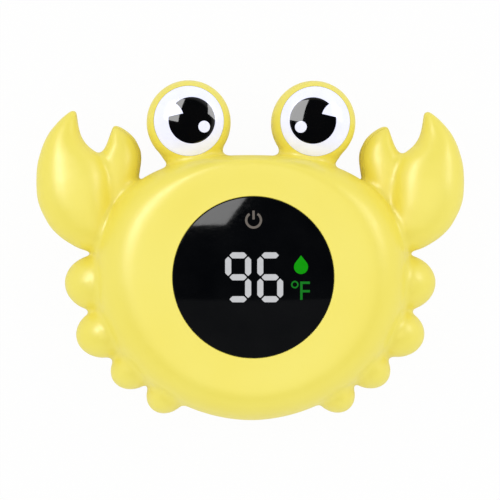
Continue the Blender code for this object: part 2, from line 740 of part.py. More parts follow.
# The block that keeps the light of each mark apart, with one well below each carrier plate
def make_reflector(plates, white):
    block = cylinder("display_reflector", REFLECTOR_RADIUS, REFLECTOR_BACK_Z, REFLECTOR_TOP_Z, (0.0, SCREEN_Y), FINE_STEPS, white)
    wells = []
    for mark in ("tens", "units"):
        xs = [x for x, _ in plates[mark]]
        ys = [y for _, y in plates[mark]]
        centre = ((min(xs) + max(xs)) / 2.0, (min(ys) + max(ys)) / 2.0)
        wells.append(rectangle(centre, max(xs) - min(xs) - 2.0 * WELL_WALL, max(ys) - min(ys) - 2.0 * WELL_WALL))
    for mark in ("drop", "unit"):
        xs = [x for x, _ in plates[mark]]
        ys = [y for _, y in plates[mark]]
        centre = ((min(xs) + max(xs)) / 2.0, (min(ys) + max(ys)) / 2.0)
        wells.append(rectangle(centre, max(xs) - min(xs) - 2.0 * WELL_WALL, max(ys) - min(ys) - 2.0 * WELL_WALL))
    wells.append(arc((0.0, POWER_Y), SPRING_RADIUS + SPRING_WIRE_RADIUS + FIT, 0.0, 345.0, 23))
    cutter = raised("reflector_wells", wells, REFLECTOR_BACK_Z - WALL, REFLECTOR_TOP_Z + WALL)
    combine(block, cutter, "DIFFERENCE")


def make_board(green, steel):
    board = cylinder("main_board", BOARD_RADIUS, BOARD_BACK_Z, BOARD_TOP_Z, (0.0, SCREEN_Y), FINE_STEPS, green)
    head_top = BOARD_BACK_Z - FIT
    head_low = head_top - SCREW_HEAD_HEIGHT
    for n, at in enumerate(post_places()):
        hole = cylinder(f"board_hole_{n + 1}", SCREW_RADIUS + FIT, BOARD_BACK_Z - WALL, BOARD_TOP_Z + WALL, at, SMALL_STEPS)
        combine(board, hole, "DIFFERENCE")
        profile = (
            (0.0, SCREW_TOP_Z),
            (SCREW_RADIUS * 0.6, SCREW_TOP_Z),
            (SCREW_RADIUS, SCREW_TOP_Z - SCREW_RADIUS),
            (SCREW_RADIUS, head_top),
            (SCREW_HEAD_RADIUS, head_top),
            (SCREW_HEAD_RADIUS, head_low + SCREW_HEAD_HEIGHT / 3.0),
            (SCREW_HEAD_RADIUS * 0.7, head_low),
            (0.0, head_low),
        )
        turned(f"board_screw_{n + 1}", profile, at, SMALL_STEPS, steel)


# The coil that carries the touch of a finger from the lens to the board
def make_spring(steel):
    low = REFLECTOR_BACK_Z + SPRING_WIRE_RADIUS
    high = REFLECTOR_TOP_Z - SPRING_WIRE_RADIUS
    curve = bpy.data.curves.new("touch_spring", "CURVE")
    curve.dimensions = "3D"
    curve.bevel_depth = SPRING_WIRE_RADIUS
    curve.bevel_resolution = 1
    curve.use_fill_caps = True
    spline = curve.splines.new("POLY")
    per_turn = 10
    count = SPRING_TURNS * per_turn
    spline.points.add(count)
    for n, point in enumerate(spline.points):
        turn = 2.0 * math.pi * n / per_turn
        x, y = SPRING_RADIUS * math.cos(turn), SPRING_RADIUS * math.sin(turn)
        point.co = (x, y, low + (high - low) * n / count, 1.0)
    place("touch_spring", curve, (0.0, POWER_Y, 0.0), steel)


def make_battery(foil, foam):
    pad_low = WALL + FIT
    low = pad_low + PAD_THICKNESS + FIT
    pad_size = (BATTERY_LENGTH, BATTERY_WIDTH, PAD_THICKNESS)
    box("battery_pad", pad_size, (0.0, BATTERY_Y, pad_low + PAD_THICKNESS / 2.0), foam)
    size = (BATTERY_LENGTH, BATTERY_WIDTH, BATTERY_HEIGHT)
    cell = box("battery", size, (0.0, BATTERY_Y, low + BATTERY_HEIGHT / 2.0), foil)
    rounding = cell.modifiers.new("rounding", "BEVEL")
    rounding.width = BATTERY_ROUND
    rounding.segments = 3
    smooth(cell)


def make_sensor(steel, rubber, bead):
    at = (0.0, SENSOR_Y)
    seal_low = WALL + FIT
    flange_low = seal_low + 2.0 * SENSOR_SEAL_RADIUS + FIT
    flange_top = flange_low + SENSOR_FLANGE_THICKNESS
    floor = SENSOR_SET + SENSOR_WALL
    bore = SENSOR_RADIUS - SENSOR_WALL
    rounding = SENSOR_WALL
    profile = (
        (0.0, floor),
        (bore, floor),
        (bore, flange_top),
        (SENSOR_FLANGE_RADIUS, flange_top),
        (SENSOR_FLANGE_RADIUS, flange_low),
        (SENSOR_RADIUS, flange_low),
        (SENSOR_RADIUS, SENSOR_SET + rounding),
        (SENSOR_RADIUS - rounding * 0.3, SENSOR_SET + rounding * 0.3),
        (SENSOR_RADIUS - rounding, SENSOR_SET),
        (0.0, SENSOR_SET),
    )
    turned("sensor_cap", profile, at, FINE_STEPS, steel)
    middle = SENSOR_RADIUS + FIT + SENSOR_SEAL_RADIUS
    ring = [
        (middle + SENSOR_SEAL_RADIUS * math.cos(a), seal_low + SENSOR_SEAL_RADIUS * (1.0 + math.sin(a)))
        for a in (math.radians(-45.0 * n) for n in range(8))
    ]
    turned("sensor_seal", ring, at, ROUND_STEPS, rubber, ring=True)
    low = floor + FIT
    cylinder("thermistor", THERMISTOR_RADIUS, low, low + THERMISTOR_HEIGHT, at, SMALL_STEPS, bead)


def make_charge_seat(gold, nickel, board):
    low = CHARGE_DEPTH + CONTACT_SINK
    collar = CHARGE_BOSS_Z + FIT
    top = collar + CONTACT_COLLAR_HEIGHT
    for side, word in ((-1, "left"), (1, "right")):
        profile = (
            (0.0, top),
            (CONTACT_COLLAR_RADIUS, top),
            (CONTACT_COLLAR_RADIUS, collar),
            (CONTACT_RADIUS, collar),
            (CONTACT_RADIUS, low),
            (0.0, low),
        )
        turned(f"charge_contact_{word}", profile, (side * CONTACT_SPACING / 2.0, CHARGE_Y), ROUND_STEPS, gold)
    magnet_low = CHARGE_DEPTH + MAGNET_SKIN + FIT
    for side, word in ((-1, "lower"), (1, "upper")):
        at = (0.0, CHARGE_Y + side * MAGNET_OFFSET)
        cylinder(f"charge_magnet_{word}", MAGNET_RADIUS, magnet_low, magnet_low + MAGNET_HEIGHT, at, ROUND_STEPS, nickel)
    holder_z = top + FIT + HOLDER_THICKNESS / 2.0
    holder_size = (HOLDER_LENGTH, HOLDER_WIDTH, HOLDER_THICKNESS)
    box("contact_holder", holder_size, (0.0, CHARGE_Y, holder_z), board)


# The domed white of an eye, from its top down to its flat back
def eye_profile(radius, sink):
    points = []
    steps = 6
    widest = math.asin(radius / EYE_BALL_RADIUS)
    for n in range(steps + 1):
        turn = widest * n / steps
        height = EYE_BALL_RADIUS * math.cos(turn) - EYE_BALL_RADIUS + EYE_WHITE_RISE
        points.append((EYE_BALL_RADIUS * math.sin(turn), EYE_EDGE_Z + height - sink))
    points += [(radius, EYE_BACK_Z), (0.0, EYE_BACK_Z)]
    return points


def make_eyes(white, black):
    top = EYE_EDGE_Z + 2.0 * EYE_WHITE_RISE
    for side, word in ((-1, "left"), (1, "right")):
        centre = (side * EYE_X, EYE_Y)
        pupil_at = (centre[0] - side * PUPIL_INWARD, EYE_Y)
        glint_at = (pupil_at[0] - side * GLINT_INWARD, EYE_Y - GLINT_BELOW)
        pupil_floor = EYE_EDGE_Z + PUPIL_FLOOR_RISE
        glint_floor = EYE_EDGE_Z + GLINT_FLOOR_RISE
        profile = eye_profile(EYE_WHITE_RADIUS, 0.0)
        eye = turned(f"{word}_eye_white", profile, centre, FINE_STEPS, white)
        pocket = cylinder(f"{word}_pupil_pocket", PUPIL_RADIUS + MARK_FIT, pupil_floor, top, pupil_at, FINE_STEPS)
        combine(eye, pocket, "DIFFERENCE")
        pupil = turned(f"{word}_pupil", profile, centre, FINE_STEPS, black)
        disc = cylinder(f"{word}_pupil_disc", PUPIL_RADIUS, pupil_floor + MARK_FIT, top, pupil_at, FINE_STEPS)
        combine(pupil, disc, "INTERSECT")
        pocket = cylinder(f"{word}_glint_pocket", GLINT_RADIUS + MARK_FIT, glint_floor, top, glint_at, ROUND_STEPS)
        combine(pupil, pocket, "DIFFERENCE")
        glint = turned(f"{word}_glint", profile, centre, FINE_STEPS, white)
        disc = cylinder(f"{word}_glint_disc", GLINT_RADIUS, glint_floor + MARK_FIT, top, glint_at, ROUND_STEPS)
        combine(glint, disc, "INTERSECT")


def main():
    clear_scene()
    make_collection(PARTS)
    make_collection(CUTTERS)
    crab = bpy.data.objects.new("crab", None)
    bpy.data.collections[PARTS].objects.link(crab)
    yellow = make_material("yellow_plastic", (0.93, 0.78, 0.14), 0.38)
    lens_black = make_material("lens_black", (0.004, 0.004, 0.005), 0.12)
    digit_white = make_material("digit_white", (0.60, 0.60, 0.61), 0.35)
    sign_green = make_material("sign_green", (0.01, 0.32, 0.02), 0.35)
    sign_grey = make_material("sign_grey", (0.20, 0.18, 0.17), 0.35)
    eye_white = make_material("eye_white", (0.90, 0.90, 0.88), 0.15)
    pupil_black = make_material("pupil_black", (0.01, 0.01, 0.01), 0.15)
    foam = make_material("black_foam", (0.03, 0.03, 0.03), 0.90)
    reflector_white = make_material("reflector_white", (0.85, 0.85, 0.85), 0.50)
    board_green = make_material("board_green", (0.02, 0.20, 0.06), 0.45)
    steel = make_material("steel", (0.60, 0.60, 0.62), 0.28, 1.0)
    gold = make_material("gold_plate", (0.83, 0.62, 0.25), 0.25, 1.0)
    foil = make_material("battery_foil", (0.55, 0.56, 0.58), 0.40, 0.8)
    rubber = make_material("black_rubber", (0.02, 0.02, 0.02), 0.70)
    bead = make_material("thermistor_bead", (0.05, 0.03, 0.02), 0.40)

    form = crab_form("outer_form", 0.0, FORM_GRID, FORM_FACETS)
    hollow = crab_form("hollow_form", WALL, HOLLOW_GRID, HOLLOW_FACETS)
    combine(hollow, half_space("hollow_trim", WALL, FACE_Z - WALL - DISH_DEPTH), "INTERSECT", "MANIFOLD")
    make_front_shell(form, hollow, yellow)
    make_rear_shell(form, hollow, yellow)
    plates = make_display(lens_black, digit_white, sign_green, sign_grey)
    make_gasket(foam)
    make_reflector(plates, reflector_white)
    make_board(board_green, steel)
    make_spring(steel)
    make_battery(foil, foam)
    make_sensor(steel, rubber, bead)
    make_charge_seat(gold, steel, board_green)
    make_eyes(eye_white, pupil_black)


main()
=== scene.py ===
import bmesh
import bpy
import json
import math
from mathutils import Euler, Matrix, Vector


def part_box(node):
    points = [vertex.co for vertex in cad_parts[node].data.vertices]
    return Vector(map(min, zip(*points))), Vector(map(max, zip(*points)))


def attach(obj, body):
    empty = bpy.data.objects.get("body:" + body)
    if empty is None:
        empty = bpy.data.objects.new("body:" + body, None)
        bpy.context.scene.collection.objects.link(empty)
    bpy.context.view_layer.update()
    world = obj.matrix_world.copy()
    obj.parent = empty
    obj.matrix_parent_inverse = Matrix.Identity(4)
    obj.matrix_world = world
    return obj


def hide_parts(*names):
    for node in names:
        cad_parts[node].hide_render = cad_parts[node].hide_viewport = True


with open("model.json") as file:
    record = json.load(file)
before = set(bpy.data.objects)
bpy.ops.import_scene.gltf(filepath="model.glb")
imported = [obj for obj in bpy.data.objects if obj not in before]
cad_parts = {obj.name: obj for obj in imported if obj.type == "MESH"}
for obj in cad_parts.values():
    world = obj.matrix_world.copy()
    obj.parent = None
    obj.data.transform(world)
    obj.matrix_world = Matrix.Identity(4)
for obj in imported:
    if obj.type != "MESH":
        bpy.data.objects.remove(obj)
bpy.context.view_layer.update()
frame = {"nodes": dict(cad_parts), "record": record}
print("frame loaded:", len(frame["nodes"]), "nodes")


# shader wiring
class Wire:
    # one socket of a node; sums with it add Math nodes to the same material
    def __init__(self, finish, socket):
        self.finish = finish
        self.socket = socket

    def math(self, operation, first, second=None):
        values = {0: first} if second is None else {0: first, 1: second}
        return self.finish.add("ShaderNodeMath", {"operation": operation}, values)

    def __add__(self, other):
        return self.math("ADD", self, other)

    def __radd__(self, other):
        return self.math("ADD", other, self)

    def __sub__(self, other):
        return self.math("SUBTRACT", self, other)

    def __rsub__(self, other):
        return self.math("SUBTRACT", other, self)

    def __mul__(self, other):
        return self.math("MULTIPLY", self, other)

    def __rmul__(self, other):
        return self.math("MULTIPLY", other, self)


class Finish:
    # a procedural finish that grows node by node around its Principled shader
    def __init__(self, name, tree=None):
        if tree is None:
            self.material = bpy.data.materials.new(name)
            self.material.use_nodes = True
            tree = self.material.node_tree
        self.tree = tree
        self.shader = tree.nodes.get("Principled BSDF")

    def add(self, kind, settings, sockets, output=0):
        node = self.tree.nodes.new(kind)
        for setting, value in settings.items():
            setattr(node, setting, value)
        for socket, value in sockets.items():
            self.plug(node.inputs[socket], value)
        return Wire(self, node.outputs[output])

    def plug(self, socket, value):
        if isinstance(value, Wire):
            self.tree.links.new(value.socket, socket)
        else:
            socket.default_value = value

    def set(self, **sockets):
        for socket, value in sockets.items():
            self.plug(self.shader.inputs[socket.replace("_", " ")], value)

    def place(self):
        return self.add("ShaderNodeTexCoord", {}, {}, "Object")

    def noise(self, scale, detail=3.0):
        values = {"Vector": self.place(), "Scale": scale, "Detail": detail}
        return self.add("ShaderNodeTexNoise", {}, values, "Fac")

    def spread(self, value, low, high, fromLow=0.3, fromHigh=0.7):
        values = {"Value": value, "From Min": fromLow, "From Max": fromHigh, "To Min": low, "To Max": high}
        return self.add("ShaderNodeMapRange", {}, values)

    def blendColours(self, share, first, second):
        settings = {"data_type": "RGBA"}
        return self.add("ShaderNodeMix", settings, {"Factor": share, 6: first, 7: second}, 2)

    def bump(self, height, distance):
        values = {"Height": height, "Distance": distance}
        return self.add("ShaderNodeBump", {}, values)


def colour(red, green, blue):
    # display values 0-255 to a linear colour
    shares = [v / 255.0 for v in (red, green, blue)]
    return (*[s / 12.92 if s <= 0.04045 else ((s + 0.055) / 1.055) ** 2.4 for s in shares], 1.0)


# mesh tools
def newPiece(name, mesh, finish=None):
    piece = bpy.data.objects.new(name, mesh)
    bpy.context.scene.collection.objects.link(piece)
    if finish:
        mesh.materials.append(finish.material)
    return piece


def bakedMesh(piece):
    bpy.context.view_layer.update()
    graph = bpy.context.evaluated_depsgraph_get()
    mesh = bpy.data.meshes.new_from_object(piece.evaluated_get(graph))
    piece.modifiers.clear()
    return mesh


def carve(piece, steps, solver):
    # steps are (operation, tool) pairs; the tools are used up
    for operation, tool in steps:
        modifier = piece.modifiers.new(tool.name, "BOOLEAN")
        modifier.operation = operation
        modifier.solver = solver
        modifier.object = tool
    kept = [material for material in piece.data.materials if material]
    piece.data = bakedMesh(piece)
    piece.data.materials.clear()
    for material in kept[:1]:
        piece.data.materials.append(material)
    for operation, tool in steps:
        bpy.data.objects.remove(tool, do_unlink=True)
    return piece


def lathe(name, profile, at, steps, finish=None, ring=False):
    # profile is (radius, height) from the top down its outer side
    shape = bmesh.new()
    loops = []
    for radius, height in profile:
        if radius == 0.0:
            loops.append([shape.verts.new((at[0], at[1], height))])
            continue
        angles = [2.0 * math.pi * n / steps for n in range(steps)]
        loops.append([shape.verts.new((at[0] + radius * math.cos(a), at[1] + radius * math.sin(a), height))
                      for a in angles])
    pairs = list(zip(loops, loops[1:]))
    if ring:
        pairs.append((loops[-1], loops[0]))
    for upper, lower in pairs:
        for n in range(steps):
            after = (n + 1) % steps
            corners = [upper[n % len(upper)], lower[n % len(lower)]]
            corners += [lower[after % len(lower)], upper[after % len(upper)]]
            corners = [c for k, c in enumerate(corners) if c not in corners[:k]]
            if len(corners) > 2:
                shape.faces.new(corners)
    bmesh.ops.recalc_face_normals(shape, faces=shape.faces)
    mesh = bpy.data.meshes.new(name)
    shape.to_mesh(mesh)
    shape.free()
    return newPiece(name, mesh, finish)


def slab(name, outlines, low, high):
    # flat outlines filled and raised; one inside another is a hole
    curve = bpy.data.curves.new(name, "CURVE")
    curve.dimensions = "2D"
    curve.fill_mode = "BOTH"
    curve.extrude = (high - low) / 2.0
    for outline in outlines:
        spline = curve.splines.new("POLY")
        spline.points.add(len(outline) - 1)
        for point, (x, y) in zip(spline.points, outline):
            point.co = (x, y, 0.0, 1.0)
        spline.use_cyclic_u = True
    drawn = newPiece(name, curve)
    mesh = bakedMesh(drawn)
    bpy.data.objects.remove(drawn, do_unlink=True)
    shape = bmesh.new()
    shape.from_mesh(mesh)
    bmesh.ops.remove_doubles(shape, verts=shape.verts, dist=1e-7)
    bmesh.ops.translate(shape, verts=shape.verts, vec=(0.0, 0.0, (low + high) / 2.0))
    shape.to_mesh(mesh)
    shape.free()
    return newPiece(name, mesh)


def block(name, low, high):
    # a wide cutter between two heights
    reach = 0.1
    return slab(name, [[(-reach, -reach), (reach, -reach), (reach, reach), (-reach, reach)]], low, high)


def arcPoints(centre, radius, start, end, steps):
    angles = [math.radians(start + (end - start) * n / steps) for n in range(steps + 1)]
    return [(centre[0] + radius * math.cos(a), centre[1] + radius * math.sin(a)) for a in angles]


def disc(centre, radius, steps=96):
    return arcPoints(centre, radius, 0.0, 360.0 - 360.0 / steps, steps - 1)


def grown(outline, distance):
    # an anticlockwise outline moved outwards along its mitres
    leastMitre = 0.35
    moved = []
    for n, (x, y) in enumerate(outline):
        before, after = outline[n - 1], outline[(n + 1) % len(outline)]
        first = Vector((y - before[1], before[0] - x)).normalized()
        second = Vector((after[1] - y, x - after[0])).normalized()
        mitre = (first + second).normalized()
        step = distance / max(mitre.dot(first), leastMitre)
        moved.append((x + mitre.x * step, y + mitre.y * step))
    return moved


def rounded(outline, radius, steps=3):
    # every corner of an outline cut back by the radius along both edges and bent round
    edgeShare = 0.45
    points = []
    for n, corner in enumerate(outline):
        here = Vector(corner)
        before, after = Vector(outline[n - 1]), Vector(outline[(n + 1) % len(outline)])
        start = here + (before - here).normalized() * min(radius, (before - here).length * edgeShare)
        end = here + (after - here).normalized() * min(radius, (after - here).length * edgeShare)
        for k in range(steps + 1):
            t = k / steps
            spot = start.lerp(here, t).lerp(here.lerp(end, t), t)
            points.append((spot.x, spot.y))
    return points


def softNormals(piece, degrees=32.0):
    piece.data.shade_smooth()
    piece.data.set_sharp_from_angle(angle=math.radians(degrees))
    return piece


def domeNormals(piece, centre):
    # true ball normals on the faces that lie on the dome, so that cuts don't disturb the gloss
    facesOut = 0.995
    mesh = softNormals(piece).data
    normals = [corner.vector.copy() for corner in mesh.corner_normals]
    for face in mesh.polygons:
        outward = (Vector(face.center) - centre).normalized()
        if face.normal.dot(outward) < facesOut:
            continue
        for index in face.loop_indices:
            normals[index] = (mesh.vertices[mesh.loops[index].vertex_index].co - centre).normalized()
    mesh.normals_split_custom_set(normals)
    return piece


def settle(piece, slotName, *nodes):
    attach(piece, "root")
    if nodes:
        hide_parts(*nodes)
    return piece


# finishes
plastic = {
    "base": colour(250, 235, 98),
    "paler": colour(251, 238, 108),
    "deeper": colour(249, 232, 88),
    "roughness": (0.33, 0.41),
    "ior": 1.5,
    "cloud": 38.0,
    "polish": 420.0,
    "grain": 5200.0,
    "grainHeight": 0.000012,
    "sink": 90.0,
    "sinkHeight": 0.00006,
}


def plasticFinish(name):
    finish = Finish(name)
    cloud = finish.noise(plastic["cloud"], 2.0)
    tone = finish.blendColours(finish.spread(cloud, 0.0, 1.0), plastic["deeper"], plastic["paler"])
    tone = finish.blendColours(0.5, tone, plastic["base"])
    grain = finish.noise(plastic["grain"], 2.0)
    sink = finish.noise(plastic["sink"], 1.0)
    low, high = plastic["roughness"]
    wave = finish.bump(sink, plastic["sinkHeight"])
    values = {"Height": grain, "Distance": plastic["grainHeight"], "Normal": wave}
    finish.set(
        Base_Color=tone,
        Roughness=finish.spread(finish.noise(plastic["polish"], 4.0), low, high),
        Normal=finish.add("ShaderNodeBump", {}, values),
        IOR=plastic["ior"],
    )
    return finish


gloss = {
    "lensColour": colour(7, 8, 10),
    "lensTint": colour(3, 4, 6),
    "lensRoughness": (0.035, 0.07),
    "whiteEye": colour(248, 250, 254),
    "creamEye": colour(243, 244, 246),
    "eyeRoughness": (0.10, 0.18),
    # painted light: a faint blue glow in the eye whites and the glints, which keeps them white against the
    # yellow light the body throws on them
    "eyePaintedLight": colour(160, 168, 255),
    "eyePaintedLightStrength": 0.24,
    "pupil": colour(6, 6, 7),
}


def glossFinish(name, first, second, roughness, scale, ior=1.5):
    # a polished mould: slow tone drift, fine polish marks and a breath of dust
    finish = Finish(name)
    drift = finish.spread(finish.noise(scale, 2.0), 0.0, 1.0)
    smear = finish.noise(scale * 9.0, 5.0)
    finish.set(
        Base_Color=finish.blendColours(drift, first, second),
        Roughness=finish.spread(smear, roughness[0], roughness[1]),
        Normal=finish.bump(finish.noise(scale * 1.6, 1.0), 0.000004),
        IOR=ior,
    )
    return finish


def litFinish(name, face, glow, strength):
    # a diffuser lit from behind, its tone and glow drifting a little at random
    finish = Finish(name)
    drift = finish.spread(finish.noise(900.0, 2.0), 0.0, 1.0)
    darker = tuple(v * 0.93 for v in face[:3]) + (1.0,)
    dimmer = tuple(v * 0.95 for v in glow[:3]) + (1.0,)
    finish.set(
        Base_Color=finish.blendColours(drift, darker, face),
        Roughness=finish.spread(drift, 0.16, 0.22, 0.0, 1.0),
        Emission_Color=finish.blendColours(drift, dimmer, glow),
        Normal=finish.bump(finish.noise(2500.0, 2.0), 0.000003),
        Emission_Strength=strength,
    )
    return finish


def metalFinish(name, bright, dull, roughness, scale, metallic=1.0):
    # turned or plated metal with fine tool marks
    finish = Finish(name)
    marks = finish.noise(scale * 14.0, 2.0)
    stain = finish.spread(finish.noise(scale, 4.0), 0.0, 1.0)
    finish.set(
        Base_Color=finish.blendColours(stain, dull, bright),
        Roughness=finish.spread(marks, roughness[0], roughness[1]),
        Metallic=metallic,
        Normal=finish.bump(marks, 0.000006),
    )
    return finish


def mattFinish(name, first, second, roughness, scale, depth):
    # foam, rubber, board lacquer and the like
    finish = Finish(name)
    speckle = finish.noise(scale, 5.0)
    finish.set(
        Base_Color=finish.blendColours(finish.spread(speckle, 0.0, 1.0), first, second),
        Roughness=finish.spread(speckle, roughness[0], roughness[1]),
        Normal=finish.bump(speckle, depth),
    )
    return finish


yellowPlastic = plasticFinish("yellowPlastic")
lensBlack = glossFinish("lensBlack", gloss["lensColour"], gloss["lensTint"], gloss["lensRoughness"], 120.0)
eyeWhite = glossFinish("eyeWhite", gloss["whiteEye"], gloss["creamEye"], gloss["eyeRoughness"], 260.0)
# the eye whites, and the glints that share this finish, glow with painted light
eyeWhite.set(Emission_Color=gloss["eyePaintedLight"], Emission_Strength=gloss["eyePaintedLightStrength"])
pupilBlack = glossFinish("pupilBlack", gloss["pupil"], gloss["lensTint"], gloss["lensRoughness"], 300.0, 1.8)
digitWhite = litFinish("digitWhite", colour(150, 151, 153), colour(196, 197, 200), 0.55)
signGreen = litFinish("signGreen", colour(8, 92, 4), colour(10, 150, 4), 0.75)
unitGreen = litFinish("unitGreen", colour(12, 80, 20), colour(22, 132, 34), 0.55)
signGrey = litFinish("signGrey", colour(96, 90, 84), colour(110, 103, 97), 0.35)
print("finishes made:", len(bpy.data.materials))


# housing
housing = {
    "seamHeight": 0.0150,
    "seamGap": 0.0003,
    "wall": 0.0020,
    "grid": 0.0005,
    "hollowGrid": 0.0012,
    "creaseSoftness": 0.00075,
    "creaseRadius": 0.0060,
    "creaseSpread": 3,
    "creaseFade": 0.8,
    "creaseLeast": 0.05,
    "filletRounds": 70,
    "centreY": -0.0085,
    "halfWidth": 0.0438,
    "above": 0.0349,
    "below": 0.0392,
    "abovePower": 2.5,
    "belowPower": 1.92,
    "frontRise": 0.0165,
    "shoulderPower": 2.1,
    "backInset": 0.0120,
    "backTrim": 0.0002,
    "crestRadius": 0.0310,
    "dish": 0.0006,
    "ribPower": 2.3,
    "ribSplits": 5,
    "ribLeast": 0.0003,
}
# ribs of the right-hand ones: x, y of one end, x, y of the other end and half depth; then the
# middle height and how far the first ends hang lower
limbs = {
    "claw": ((
        (0.0449, -0.0007, 0.0393, -0.0001, 0.0032),
        (0.0483, 0.0004, 0.0365, 0.0018, 0.0059),
        (0.0515, 0.0022, 0.0355, 0.0045, 0.0077),
        (0.0538, 0.0039, 0.0372, 0.0073, 0.0089),
        (0.0561, 0.0063, 0.0380, 0.0105, 0.0096),
        (0.0577, 0.0090, 0.0384, 0.0133, 0.0101),
        (0.0589, 0.0115, 0.0386, 0.0160, 0.0103),
        (0.0597, 0.0142, 0.0387, 0.0185, 0.0103),
        (0.0600, 0.0174, 0.0390, 0.0211, 0.0101),
        (0.0600, 0.0208, 0.0398, 0.0234, 0.0096),
        (0.0597, 0.0240, 0.0411, 0.0255, 0.0090),
        (0.0589, 0.0271, 0.0434, 0.0273, 0.0082),
        (0.0579, 0.0299, 0.0458, 0.0292, 0.0072),
        (0.0565, 0.0326, 0.0475, 0.0317, 0.0060),
        (0.0546, 0.0350, 0.0483, 0.0345, 0.0048),
        (0.0528, 0.0369, 0.0486, 0.0366, 0.0036),
        (0.0512, 0.0382, 0.0488, 0.0380, 0.0025),
        (0.0501, 0.0390, 0.0491, 0.0389, 0.0013),
    ), 0.0145, 0.0),
    "thumb": ((
        (0.0331, 0.0124, 0.0421, 0.0124, 0.0065),
        (0.0323, 0.0163, 0.0427, 0.0168, 0.0070),
        (0.0316, 0.0199, 0.0432, 0.0208, 0.0071),
        (0.0311, 0.0230, 0.0432, 0.0236, 0.0070),
        (0.0308, 0.0255, 0.0429, 0.0257, 0.0067),
        (0.0310, 0.0278, 0.0419, 0.0273, 0.0062),
        (0.0317, 0.0295, 0.0408, 0.0289, 0.0057),
        (0.0326, 0.0312, 0.0401, 0.0307, 0.0049),
        (0.0340, 0.0327, 0.0395, 0.0324, 0.0041),
        (0.0356, 0.0339, 0.0391, 0.0336, 0.0032),
        (0.0370, 0.0347, 0.0388, 0.0344, 0.0021),
        (0.0379, 0.0350, 0.0386, 0.0349, 0.0011),
    ), 0.0134, 0.0022),
    "stalk": ((
        (0.0239, 0.0361, 0.0112, 0.0361, 0.0080),
        (0.0261, 0.0323, 0.0090, 0.0323, 0.0080),
        (0.0269, 0.0295, 0.0084, 0.0295, 0.0080),
        (0.0257, 0.0272, 0.0080, 0.0275, 0.0080),
        (0.0243, 0.0250, 0.0070, 0.0253, 0.0080),
        (0.0230, 0.0230, 0.0056, 0.0230, 0.0080),
        (0.0225, 0.0174, 0.0056, 0.0174, 0.0080),
        (0.0208, 0.0126, 0.0073, 0.0126, 0.0070),
    ), 0.0140, 0.0),
}
# x, y, half length, half width and turn in degrees of the right-hand legs
legs = {
    "bumps": (
        (0.0427, -0.0093, 0.0095, 0.0080, 0.0),
        (0.0407, -0.0233, 0.0084, 0.0070, -10.3),
        (0.0323, -0.0326, 0.0076, 0.0060, -35.5),
        (0.0233, -0.0398, 0.0067, 0.0055, -48.0),
    ),
    "height": 0.0135,
    "halfDepth": 0.0088,
}
eyes = {
    "x": 0.0175,
    "y": 0.0356,
    "z": 0.0140,
    "ringRadius": 0.0118,
    "halfDepth": 0.0110,
    "power": 3.0,
    "whiteRadius": 0.00965,
    "whiteSet": 0.0002,
    "edge": 0.0020,
    "rise": 0.0038,
    "fit": 0.00006,
    "seatGap": 0.0003,
    "lipRound": 0.0003,
    "pupilRadius": 0.0064,
    "pupilInward": 0.0008,
    "pupilFloor": 0.0008,
    "notchTip": (0.00236, 0.00175),
    "notchTop": 46.0,
    "notchSide": 8.3,
    "notchBulge": 0.0006,
    "glintRadius": 0.0016,
    "glintInward": 0.0034,
    "glintBelow": 0.0018,
    "glintFloor": 0.0020,
    "printGap": 0.00003,
}
screen = {
    "y": -0.0075,
    "lensRadius": 0.0220,
    "fit": 0.00006,
    "set": 0.0001,
    "edge": 0.0017,
    "rise": 0.0014,
    "edgeRound": 0.0003,
    "ledge": 0.0280,
    "throughRadius": 0.0204,
    "gasketInner": 0.0206,
    "gasketGap": 0.0002,
    "seatDepth": 0.0020,
    "lipRound": 0.0002,
    "postCircle": 0.0246,
    "postRadius": 0.0025,
    "postFoot": 0.0188,
    "postBore": 0.0012,
    "postBoreDepth": 0.0045,
}
faceHeight = housing["seamHeight"] + housing["frontRise"] - housing["dish"]
lensEdgeHeight = faceHeight - screen["set"]
eyeHoleRadius = eyes["whiteRadius"] + eyes["fit"]
eyeLip = (1.0 - (eyeHoleRadius / eyes["ringRadius"]) ** eyes["power"]) ** (1.0 / eyes["power"])
eyeEdgeHeight = eyes["z"] + eyes["halfDepth"] * eyeLip - eyes["whiteSet"]
eyeBackHeight = eyeEdgeHeight - eyes["edge"]


def signedPower(value, power):
    return math.copysign(abs(value) ** power, value)


def loft(shape, rings):
    # a closed skin over rings of points
    loops = [[shape.verts.new(point) for point in ring] for ring in rings]
    faces = [shape.faces.new(loops[0]), shape.faces.new(loops[-1])]
    for low, high in zip(loops, loops[1:]):
        for n in range(len(low)):
            after = (n + 1) % len(low)
            faces.append(shape.faces.new((low[n], low[after], high[after], high[n])))
    bmesh.ops.recalc_face_normals(shape, faces=faces)


def bodyOutline(inset):
    points = []
    steps = 192
    for n in range(steps):
        angle = 2.0 * math.pi * n / steps
        above = math.sin(angle) >= 0.0
        power = housing["abovePower" if above else "belowPower"]
        height = housing["above" if above else "below"] - inset
        x = (housing["halfWidth"] - inset) * signedPower(math.cos(angle), 2.0 / power)
        points.append(Vector((x, housing["centreY"] + height * signedPower(math.sin(angle), 2.0 / power))))
    return points


